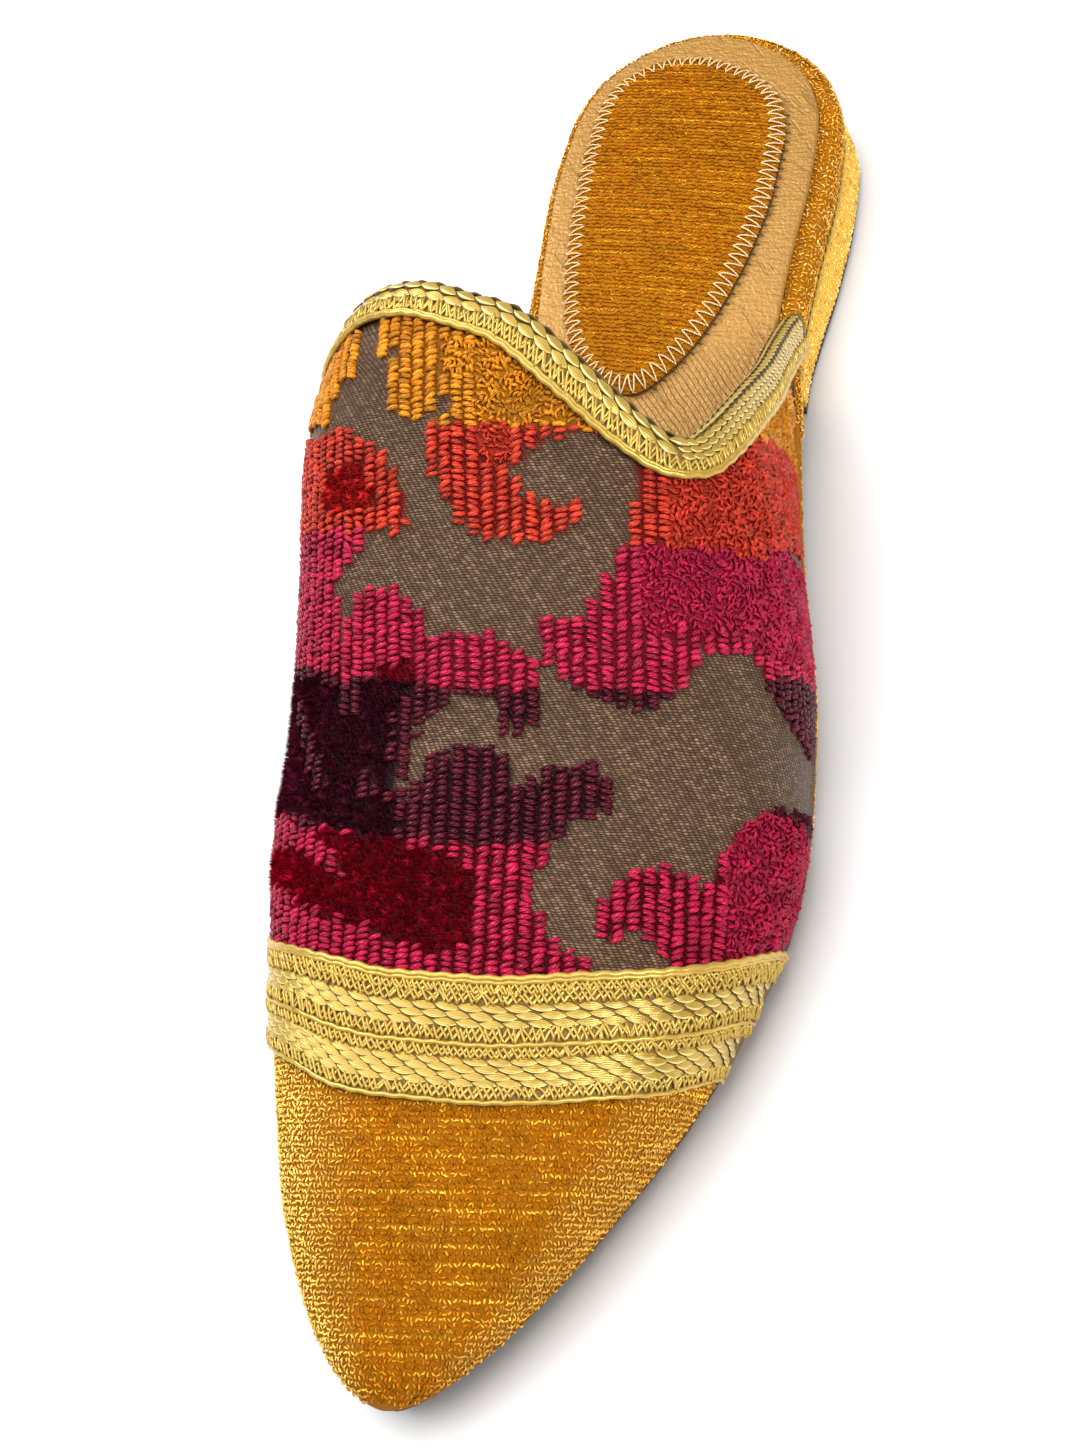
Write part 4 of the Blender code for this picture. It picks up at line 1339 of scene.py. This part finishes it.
nap_over("rand_nap", side_grid(176.0, rand_profile), 1.0, 0.8, 1.0, RAND_TONES, 31)
for name, side, seed in (("outer_rand_nap", 1, 34), ("inner_rand_nap", -1, 37)):
    nap_over(name, rand_flank(side), 1.15, 0.9, 0.6, RAND_TONES, seed)

# %% Heel, its lift and its nap
HEEL_BREAST, LIFT_THICK = 188.0, 1.5
HEEL_TONES = np.array([[1.0, 0.64, 0.13], [1.0, 0.82, 0.34]])
cover = mottled(
    "heel_velvet", 900.0, 4.0, (0.70, 0.38, 0.05), (0.90, 0.55, 0.10), (0.5, 0.0003),
    Roughness=0.8, Specular_IOR_Level=0.1,
)
rubber = mottled(
    "lift_rubber", 900.0, 3.0, (0.020, 0.016, 0.014), (0.05, 0.04, 0.034), (0.3, 0.0002), Roughness=0.7
)
pale_nap = fibres("pale_nap", (0.88, 0.84, 0.74), (1.3, 1.3, 1.4), Roughness=0.6, Specular_IOR_Level=0.02)


def heel_profile(share, d):
    foot, head = LIFT_THICK + GAP, bottom["tread"](d) - GAP
    outset = 2.0 - 2.9 * share**1.7 + 0.5 * np.sin(share * np.pi)
    return outset * (0.15 + 0.85 * np.clip((d - HEEL_BREAST) / 26.0, 0, 1)), foot + (head - foot) * share


def lift_profile(share, d):
    return heel_profile(0.0, d)[0] - 0.2, LIFT_THICK * share


def block(name, grid, material, node):
    """A closed solid from a strip round the heel: its breast, top and underside are filled."""
    rows, size = grid.shape[:2]
    caps = [tuple(range(size))[::-1], tuple(range((rows - 1) * size, rows * size))]
    breast = [(i, i + size, i + 2 * size - 1, i + size - 1) for i in range(0, (rows - 1) * size, size)]
    mesh = mesh_of(name, grid.reshape(-1, 3), quads(rows, size) + breast + caps)
    solid = piece_of(name, tidy(mesh), material)
    solid.data.set_sharp_from_angle(angle=np.radians(50))
    belongs(solid, node)


block("heel_cover", side_grid(HEEL_BREAST, heel_profile, 120), cover.material, "heel")
block("lift", side_grid(HEEL_BREAST, lift_profile, 120)[::7], rubber.material, "heel_lift")
nap_over("heel_nap", side_grid(188.5, heel_profile), 1.0, 0.8, 0.6, HEEL_TONES, 41, pale_nap)

# %% [markdown]
# ## The sewn pad
#
# A patch of the chenille is sewn on the heel seat. It is a thin crowned pad: highest in the middle
# and drawn down along the seam, where a zigzag of cream thread holds its edge. The ribs run across
# it. It is shaped directly, because a pad as thin as a coin shows no folds that a cloth simulation
# could add.

# %% Pad
PAD_FRONT, PAD_RUN, PAD_BACK = 179.5, 79.3, 258.8
pad_d = PAD_FRONT + PAD_RUN * eased(81)
pad_across = np.sin(np.linspace(-np.pi / 2, np.pi / 2, 41))


def pad_point(d, across, under=False):
    """A point of the pad: across runs from -1 at the inner edge to 1 at the outer one."""
    medial, lateral = pad["medial"](d), pad["lateral"](d)
    half = (lateral - medial) / 2
    x = (medial + lateral) / 2 + across * half
    base = insole_top(d) + GAP
    if under:
        return lined(x, d, base)
    inset = np.minimum((1 - np.abs(across)) * half, np.minimum(d - PAD_FRONT, PAD_BACK - d))
    inset = np.maximum(inset, 0)
    crown = 0.35 + 0.75 * (1 - np.exp(-inset / 1.2)) + 0.75 * (1 - np.exp(-inset / 7.0))
    return lined(x, d, base + crown)


pad_top = pad_point(pad_d[:, None], pad_across[None])
pad_under = pad_point(pad_d[:, None], pad_across[None], True)
heel_pad = shell("heel_pad_cloth", pad_top, pad_under, pad_top[..., :2], (ochre.material,))
belongs(heel_pad, "heel_pad")

# %% Nap of the pad
pad_way = unit(np.array([0.10, 1.0, 0.0]))
pad_tones = (OCHRE * (0.76, 0.62, 0.2), OCHRE_PALE * (0.85, 0.74, 0.4))
place, numbers = ribs_over(pad_top[2:-2], 0.84, 0.68, pad_way, 51)
sizes = tall(np.random.default_rng(52).uniform(0.6, 1.0, len(place)))
tints = rib_tints(numbers, place[:, 0], 53, *pad_tones, True)
pad_nap = planted(
    "pad_nap", nap_curl, place, (0, 0, 1), pad_way, sizes, tints, ochre_nap.material, (0.3, 0.3, 0.8), 54
)
belongs(pad_nap)

# %% [markdown]
# ## Threads that follow a path
#
# Stitches, cords and the zigzags of the braid are threads. Each is drawn as a line of points, and a
# second node tree sweeps a small ring along it. A twisted thread is two lines that wind round each
# other.

# %% Node tree that sweeps a thread
sweeping = Tree("sweep_thread", Thread="Float", Sides="Int", Material="Material")
asked = sweeping.inputs
line = sweeping.add("GeometryNodeMeshToCurve", {0: asked["Geometry"]})
ring_size = {"Resolution": asked["Sides"], "Radius": asked["Thread"]}
ring = sweeping.add("GeometryNodeCurvePrimitiveCircle", ring_size, mode="RADIUS")
tube = sweeping.add("GeometryNodeCurveToMesh", {0: line.outputs[0], 1: ring.outputs[0], "Fill Caps": True})
sweep_tree = sweeping.ends_in(tube.outputs[0])


def threads(name, lines, thick, material, sides=5):
    """One piece from several lines of points in millimetres."""
    points, edges = [], []
    for line in lines:
        edges += [(len(points) + k, len(points) + k + 1) for k in range(len(line) - 1)]
        points += list(line)
    guide = bpy.data.meshes.new(name + "_lines")
    guide.from_pydata(placed(points).tolist(), edges, [])
    return grown(name, guide, sweep_tree, Thread=thick * MM, Sides=sides, Material=material)


# %% Zigzag stitches of the pad
STITCH, BEATS, CREAM_THREAD, BROWN_THREAD = 2.24, 8, 0.15, 0.13
cream = Finish("cream_thread", Roughness=0.4)
wave = {"Vector": cream.add("TexCoord").outputs["Object"], "Scale": 700.0, "Distortion": 2.0}
twist = cream.add("TexWave", wave).outputs[1]
cream.colour(cream.mix(twist, (0.62, 0.44, 0.19), (0.86, 0.69, 0.40)))
cream.bump(twist, 0.3, 0.0001)

outline_d = PAD_FRONT + PAD_RUN * eased(300)
outer_line, inner_line = [np.stack([pad[side](outline_d), outline_d], -1) for side in ("lateral", "medial")]
outline = np.concatenate([outer_line, inner_line[::-1]])
length = run_of(outline)
count = 2 * int(length[-1] / STITCH)
at = np.linspace(0, length[-1], count * 4 + 1)
edge = spaced(outline, length, at)
forward = unit(np.gradient(edge, axis=0))
inward = np.stack([-forward[:, 1], forward[:, 0]], -1)
beat = np.arange(len(at)) % BEATS
swing = 1.35 + 1.6 * np.interp(beat, np.arange(9), [1, 0.62, 0, -0.62, -1, -0.62, 0, 0.62, 1])
flat = edge + inward * swing[:, None]
medial, lateral = pad["medial"](flat[:, 1]), pad["lateral"](flat[:, 1])
half = np.maximum((lateral - medial) / 2, 0.5)
across = np.clip((flat[:, 0] - (lateral + medial) / 2) / half, -1, 1)
stitch = pad_point(np.clip(flat[:, 1], PAD_FRONT + 0.1, PAD_BACK - 0.1), across)
stitch[:, :2] = flat
sunk = 0.26 * np.clip((2.0 - edge[:, 0]) / 6.0, 0, 1)
dip = np.interp(beat, np.arange(9), [1, 0.5, 0, -0.5, -1, -0.5, 0, 0.5, 1])
stitch[:, 2] += 0.62 - sunk - 0.30 * np.abs(dip) ** 2
belongs(threads("pad_stitches", [stitch], CREAM_THREAD, cream.material))

# %% Brown thread along the edge of the pad
brown = mottled("brown_thread", 2000.0, 2.0, (0.05, 0.03, 0.015), (0.12, 0.07, 0.03), Roughness=0.6)
knots = []
for k in range(0, len(at), BEATS):
    if edge[k, 0] > 4 and edge[k, 1] < 243:
        ground = insole_top(edge[k, 1])
        foot = np.array([*(edge[k] + inward[k] * 0.5), ground + 0.75])
        tip = np.array([*(edge[k] - inward[k] * 0.9 + forward[k] * 0.3), ground + 0.1])
        knots.append(np.array([foot, (foot + tip) / 2 + (0, 0, 0.15), tip]))
sewn = [k for k in range(0, len(at), 2) if edge[k, 0] > 2 and edge[k, 1] < 236]
edge_line = np.array([[*(edge[k] - inward[k] * 0.12), insole_top(edge[k, 1]) + 0.18] for k in sewn])
belongs(threads("pad_edge_thread", [*knots, edge_line], BROWN_THREAD, brown.material))

# %% [markdown]
# ## Gold braid
#
# The braid is plaited from gold thread: rows of flat scales where the strands pass over each other,
# beside them rows of fine zigzag loops, and a smooth cord along each edge. A ribbon is a grid of
# places on the shoe; a small function finds the place at s along it, t across it and a height above
# it, so that scales, zigzags and cords all follow the same ribbon.


# %% Ribbon, and what a braid is made of
MARK, SCALE_REACH, SCALE_SINK, ZIGZAG_THREAD = 0.2, 0.75, 0.02, 0.26


class Ribbon:
    """A strip of places on the shoe. s runs along each of its lines from the middle one, t across it."""

    def __init__(self, grid, middle):
        self.grid, self.count = grid, grid.shape[:2]
        length = np.cumsum(np.linalg.norm(np.diff(grid, axis=0, prepend=grid[:1]), axis=-1), axis=0)
        length -= length[middle]
        self.first, self.last = length[0], length[-1]
        self.marks = np.arange(length.min(), length.max(), MARK)
        lines = np.arange(len(grid))
        self.index = np.stack([np.interp(self.marks, column, lines) for column in length.T], 1)
        widths = np.linalg.norm(np.diff(grid, axis=1, prepend=grid[:, :1]), axis=-1)
        self.across = np.cumsum(np.median(widths, axis=0))
        self.along_way = unit(np.gradient(grid, axis=0))
        self.out = unit(np.cross(np.gradient(grid, axis=1), self.along_way))

    def pick(self, values, s, t):
        k = np.interp(t, self.across, np.arange(self.count[1]))
        mark = np.clip((s - self.marks[0]) / MARK, 0, len(self.marks) - 1.001)
        return between(values, between(self.index, mark, k), k)

    def at(self, s, t, height=0.0):
        s, t, height = [np.asarray(values, float) for values in np.broadcast_arrays(s, t, height)]
        return self.pick(self.grid, s, t) + self.pick(self.out, s, t) * height[..., None]

    def stretch(self, t, margin, span):
        """Where a row begins and ends: a margin inside the ribbon, and inside a span if it has one."""
        first = np.interp(t, self.across, self.first) + margin
        last = np.interp(t, self.across, self.last) - margin
        return (max(first, span[0]), min(last, span[1])) if span else (first, last)

    def cord(self, t, radius, height):
        """One smooth thread along the ribbon, which sways a little."""
        s = np.arange(*self.stretch(t, 0, None), 0.8)
        return self.at(s, t + 0.25 * radius * np.sin(1.9 * s), height + 0.12 * radius * np.sin(2.7 * s))

    def zigzag(self, low, high, pitch, height, seed, span):
        """Two uneven threads that swing between two lines in round loops."""
        dice = np.random.default_rng(seed)
        first, last = self.stretch((low + high) / 2, 0.6, span)
        turns = np.arange(0, (last - first) / pitch, 0.1)
        knots = np.arange(0, turns[-1] + 1, 0.5)
        lines = []
        for strand in (0, 1):
            uneven = [np.interp(turns, knots, dice.normal(0, 1, len(knots))) for _ in range(4)]
            late, near, wide, over = uneven
            phase = 2 * np.pi * (turns + 0.43 * strand) + 0.45 * late
            s = first + pitch * (turns + 0.085 * np.sin(2 * phase) + 0.08 * near)
            t = (low + high) / 2 + (high - low) * (0.46 + 0.07 * wide) * np.sin(phase)
            lines.append(self.at(s, t, height + 0.14 + 0.13 * np.cos(phase + strand) + 0.05 * over))
        return lines

    def scales(self, t, pitch, shift, span):
        """Place, outward way and cross way of every scale in a row."""
        first, last = self.stretch(t, 1.5, span)
        number = np.arange(np.ceil(first / pitch - shift), np.floor(last / pitch - shift) + 1)
        s = number * pitch + shift * pitch
        t = np.full_like(s, t)
        out = unit(self.pick(self.out, s, t))
        return self.at(s, t), out, np.cross(out, unit(self.pick(self.along_way, s, t)))


def braid_scale(name, half, width, thick):
    """A flat bundle of threads: a slanted lozenge whose front edge stands up like that of a roof tile."""
    lift = np.array([0.15, 0.62, 0.85, 1.0, 0.0])
    a, b = np.meshgrid(np.linspace(-1, 1, 9), [-1, -0.4, 0.25, 0.86, 1], indexing="ij")
    rim = width * (1 - np.abs(a) ** 1.6) ** 0.8 + 0.03
    height = thick * lift * (0.3 + 0.7 * np.cos(a * np.pi / 2)) + 0.05 * a
    top = lined(half * a + 0.3 * b * rim, b * rim - 0.26 * a, height)
    uv = np.stack([a, b], -1)
    return helper(name, top.reshape(-1, 3), [f[::-1] for f in quads(9, 5)], uv.reshape(-1, 2))


scale_shape = braid_scale("braid_scale", 1.85, 0.74, 0.44)

# %% Gold thread and the ground of the braid
gold = Finish("gold_thread", Roughness=0.32, Metallic=0.45, Specular_IOR_Level=0.6)
spots = gold.noise(gold.add("TexCoord").outputs["Object"], 500.0)
threads_uv = gold.add("SeparateXYZ", {0: gold.add("UVMap").outputs[0]})
strand = gold.math("SINE", gold.math("MULTIPLY", threads_uv.outputs[1], 16.0))
tone = gold.mix(spots, (0.43, 0.258, 0.036), (0.61, 0.41, 0.078))
# Painted highlight: the raised front edge of each scale is painted pale gold.
tone = gold.mix(gold.ramp(threads_uv.outputs[1], 0.3, 0.75), tone, (0.95, 0.78, 0.27))
# Painted shade: both long edges of each scale are painted dark, where the rows of scales meet.
edge = gold.ramp(gold.math("ABSOLUTE", gold.math("ADD", threads_uv.outputs[1], -0.02)), 0.72, 0.94)
gold.colour(gold.mix(edge, tone, (0.085, 0.044, 0.004)))
gold.bump(strand, 0.3, 0.00008)
gold_cord = mottled(
    "gold_cord", 900.0, 2.0, (0.42, 0.256, 0.032), (0.73, 0.505, 0.108), (0.35, 0.0002),
    Roughness=0.34, Metallic=0.45, Specular_IOR_Level=0.6,
)
under_gold = Finish("braid_ground", Roughness=0.6, Metallic=0.35)
weave = under_gold.noise(under_gold.add("TexCoord").outputs["Object"], 1500.0)
depth = under_gold.add("SeparateXYZ", {0: under_gold.add("UVMap").outputs[0]}).outputs[0]
shallow = under_gold.mix(weave, (0.070, 0.036, 0.004), (0.32, 0.195, 0.032))
under_gold.colour(under_gold.mix(depth, shallow, (0.17, 0.097, 0.012)))
under_gold.bump(weave, 0.5, 0.0002)


def braid(name, ribbon, node, thick, cords, zigzags, rows):
    """The pieces of one braid: its ground, its scales, and its cords and zigzags."""
    deep = np.max([np.abs(ribbon.across - row[0]) < SCALE_REACH for row in rows], axis=0)
    deep = np.stack(np.broadcast_arrays(deep[None], np.zeros(ribbon.count)), -1)
    face = ribbon.grid + ribbon.out * thick
    belongs(shell(name + "_ground", face, ribbon.grid, deep, (under_gold.material,)), node)
    parts = [ribbon.scales(t, pitch, shift, span) for t, shift, pitch, _, span in rows]
    place, out, way = [np.concatenate(values) for values in zip(*parts)]
    counts = [len(part[0]) for part in parts]
    sizes = np.repeat(np.array([row[3] for row in rows], float), counts, axis=0)
    sizes = sizes * np.random.default_rng(61).uniform(0.95, 1.05, sizes.shape)
    plait = planted(
        name + "_scales", scale_shape, place + out * (thick - SCALE_SINK), out, way, sizes, (1, 1, 1),
        gold.material, (0.08, 0.04, 0.05), 62,
    )
    belongs(plait)
    for radius in sorted({r for _, r in cords}):
        lines = [ribbon.cord(t, r, thick + 0.35 * r) for t, r in cords if r == radius]
        cord = threads(f"{name}_cord_{radius * 100:.0f}", lines, radius, gold_cord.material, 8)
        belongs(cord)
    lines = []
    for k, (low, high, pitch, span) in enumerate(zigzags):
        lines += ribbon.zigzag(low, high, pitch, thick + 0.12, 63 + k, span)
    belongs(threads(name + "_zigzags", lines, ZIGZAG_THREAD, gold_cord.material, 4))


# %% Band over the toe: two braids side by side
BRAID_THICK = 0.35
angles = np.linspace(-0.4, 180.4, 181)
front, back = band["front"](angles)[:, None], band["back"](angles)[:, None]
band_d = front + (back - front) * np.linspace(0, 1, 25)
_, _, out = slopes(band_d, angles[:, None])
band_ribbon = Ribbon(upper_point(band_d, angles[:, None]) - out * 0.2, 90)
W = band_ribbon.across[-1]
print("band", round(band_ribbon.last[12] - band_ribbon.first[12], 1), "mm long and", round(W, 1), "mm wide")
braid(
    "toe_braid", band_ribbon, "toe_band", BRAID_THICK,
    cords=[(t * W, radius) for t, radius in ((0.018, 0.36), (0.455, 0.4), (0.946, 0.4), (0.978, 0.52))],
    zigzags=[(low * W, high * W, pitch, None) for low, high, pitch in (
        (0.035, 0.145, 2.0), (0.35, 0.44, 1.8), (0.475, 0.595, 1.9), (0.77, 0.875, 2.2), (0.85, 0.93, 1.6),
    )],
    rows=[(t * W, shift, 3.45, (1, 1, 1), None) for t, shift in (
        (0.165, 0), (0.22, 0.5), (0.275, 0), (0.33, 0.5), (0.62, 0), (0.682, 0.5), (0.744, 0),
    )],
)


# %% Binding of the collar: the same braid folded over the edge
OFF_FACE, STRAP_END = 0.25, 15.5


def collar_line(degrees):
    """The collar's edge, which runs on down the rand at both ends until the seam."""
    beyond = np.maximum(-degrees, 0) + np.maximum(degrees - 180, 0)
    return collar(degrees) + 3.4 * beyond


def calmed(values):
    """Values along the edge, each the mean of nineteen neighbours."""
    return np.convolve(np.pad(values, 9, mode="edge"), np.ones(19) / 19, mode="valid")


angles = np.concatenate([np.linspace(-2.4, 40, 64), np.linspace(40.6, 70, 60), np.linspace(70.8, 182.4, 126)])
d = collar_line(angles)
edge, inner_edge = upper_point(d, angles), upper_point(d, angles, WALL)
along, round_way, out = slopes(d, angles)
run = unit(np.gradient(edge, axis=0))
calm = np.stack([calmed(values) for values in run.T], -1)
near_end = np.clip((16.0 - np.minimum(angles, 180 - angles)) / 8.0, 0, 1)[:, None]
run = unit(run * (1 - near_end) + calm * near_end)
away = unit(np.cross(run, out))
step_d, step_angle = steps_along(along, round_way, -away)


def leg(reach, depth, side):
    """A line on one face of the wall, a distance back from the edge."""
    d2, angle2 = d + step_d * reach, angles + step_angle * reach
    return upper_point(d2, angle2, depth) + side * OFF_FACE * slopes(d2, angle2)[2]


sections = [leg(reach, 0.0, 1) for reach in np.linspace(5.3, 0.5, 12)]
for turn in np.linspace(0.1, 0.9, 9) * np.pi:
    rounded = out * np.cos(turn) * (WALL / 2 + OFF_FACE)
    sections.append((edge + inner_edge) / 2 + rounded + away * (0.1 + 1.15 * np.sin(turn)))
sections += [leg(reach, WALL, -1) for reach in np.linspace(0.5, 5, 8)]
collar_grid = np.stack(sections, 1)


def line_near(degrees):
    return int(np.argmin(np.abs(angles - degrees)))


def straight_end(grid, hinge, step, length):
    """Past the hinge the strap runs straight on over the rand and ends in a clean cut."""
    side = unit(out[hinge] * (1, 1, 0))
    way = (grid[hinge] - grid[hinge - 18 * step]).mean(0)
    way = unit(way - (way @ side) * side)
    count = hinge if step < 0 else len(grid) - 1 - hinge
    for k in range(1, count + 1):
        far = length * k / count
        grid[hinge + step * k] = grid[hinge] + far * way + side * 1.5 * (k / count) ** 1.5


straight_end(collar_grid, line_near(9), -1, STRAP_END)
straight_end(collar_grid, line_near(171), 1, STRAP_END)
for name, row, inner_row in (("outer_strap_end", 0, 2), ("inner_strap_end", -1, -3)):
    plate, backing = [np.stack([fold[:14], fold[:-15:-1]], 1) for fold in collar_grid[[row, inner_row]]]
    belongs(shell(name, plate, backing, plate[..., :2] * 0, (under_gold.material,)))

# %% Braid of the collar
collar_ribbon = Ribbon(collar_grid, line_near(54))
wide = collar_ribbon.across[-1]
long = collar_ribbon.last[5] - collar_ribbon.first[5]
print("binding", round(long, 1), "mm long and", round(wide, 1), "mm wide")
OUTER, INNER = (-2.0, 999.0), (-999.0, -2.0)
OUTER_ROWS = ((4.3, 0), (5.75, 0.5), (7.2, 0), (8.65, 0.5), (10.0, 0))
INNER_ROWS = ((3.5, 0), (4.6, 0.5), (5.7, 0), (6.8, 0.5), (7.9, 0), (9.0, 0.5), (10.1, 0))
rows = [(t, shift, 3.5, (1.05, 1.3, 1.15), OUTER) for t, shift in OUTER_ROWS]
rows += [(t, shift, 1.9, (0.68, 0.92, 0.7), INNER) for t, shift in INNER_ROWS]
braid(
    "collar_braid", collar_ribbon, "collar_binding", BRAID_THICK,
    cords=((0.45, 0.5), (0.95, 0.36), (wide - 0.5, 0.36)),
    zigzags=((1.0, 3.8, 1.7, OUTER), (1.0, 3.0, 1.9, INNER), (10.6, 12.6, 2.2, None)),
    rows=rows,
)

# %% [markdown]
# ## Seam and sole
#
# A twisted gold thread lies in the groove between the rand and the heel. The leather outsole keeps
# its solid shape from the frame and only gets a finish.

# %% Seam thread and sole
SEAM_START, SEAM_OUT, SEAM_THREAD, PLY, TWIST = 189.0, 0.25, 0.3, 0.28, 4.2
seam_d = SEAM_START + (LENGTH - SEAM_START) * np.sin(np.linspace(0, np.pi / 2, 400))
seam_path = heel_line(SEAM_START, seam_d, SEAM_OUT, SEAM_OUT, bottom["tread"](seam_d) + 0.75)
length = run_of(seam_path)
s = np.arange(0, length[-1], 0.4)
centre = spaced(seam_path, length, s)
outward = unit(np.cross(np.gradient(centre, axis=0), (0, 0, 1)))
plies = []
for start in (0, np.pi):
    turn = (2 * np.pi * s / TWIST + start)[:, None]
    plies.append(centre + PLY * (np.cos(turn) * outward + np.sin(turn) * np.array([0, 0, 1.0])))
belongs(threads("seam_thread", plies, SEAM_THREAD, gold_cord.material))

hide = mottled(
    "sole_leather", 300.0, 5.0, (0.045, 0.026, 0.016), (0.10, 0.058, 0.034), (0.3, 0.0004), Roughness=0.62
)
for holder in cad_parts["outsole"].material_slots:
    holder.material = hide.material

# %% [markdown]
# ## Last steps
#
# The small shapes have done their work and are removed. The fill and the rake lamp are linked to the
# shoe alone, so that the floor keeps the soft shadow of the key lamp, and one lamp lights the floor
# alone.


# %% Finish
def lit_alone(name, lamps, pieces):
    """Each of the lamps lights these pieces and nothing else."""
    lit = bpy.data.collections.new(name)
    for piece in pieces:
        lit.objects.link(piece)
    for lamp in lamps:
        lamp.light_linking.receiver_collection = lit


for shape in helpers:
    bpy.data.objects.remove(shape, do_unlink=True)
shoe = [piece for piece in bpy.data.objects if piece.type == "MESH" and piece != floor]
lit_alone("lit_by_fill", (fill_lamp, rake_lamp), shoe)
lit_alone("lit_floor", (floor_lamp,), (floor,))
made = [piece for piece in shoe if piece.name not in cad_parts]
print("triangles made here", sum(len(face.vertices) - 2 for piece in made for face in piece.data.polygons))
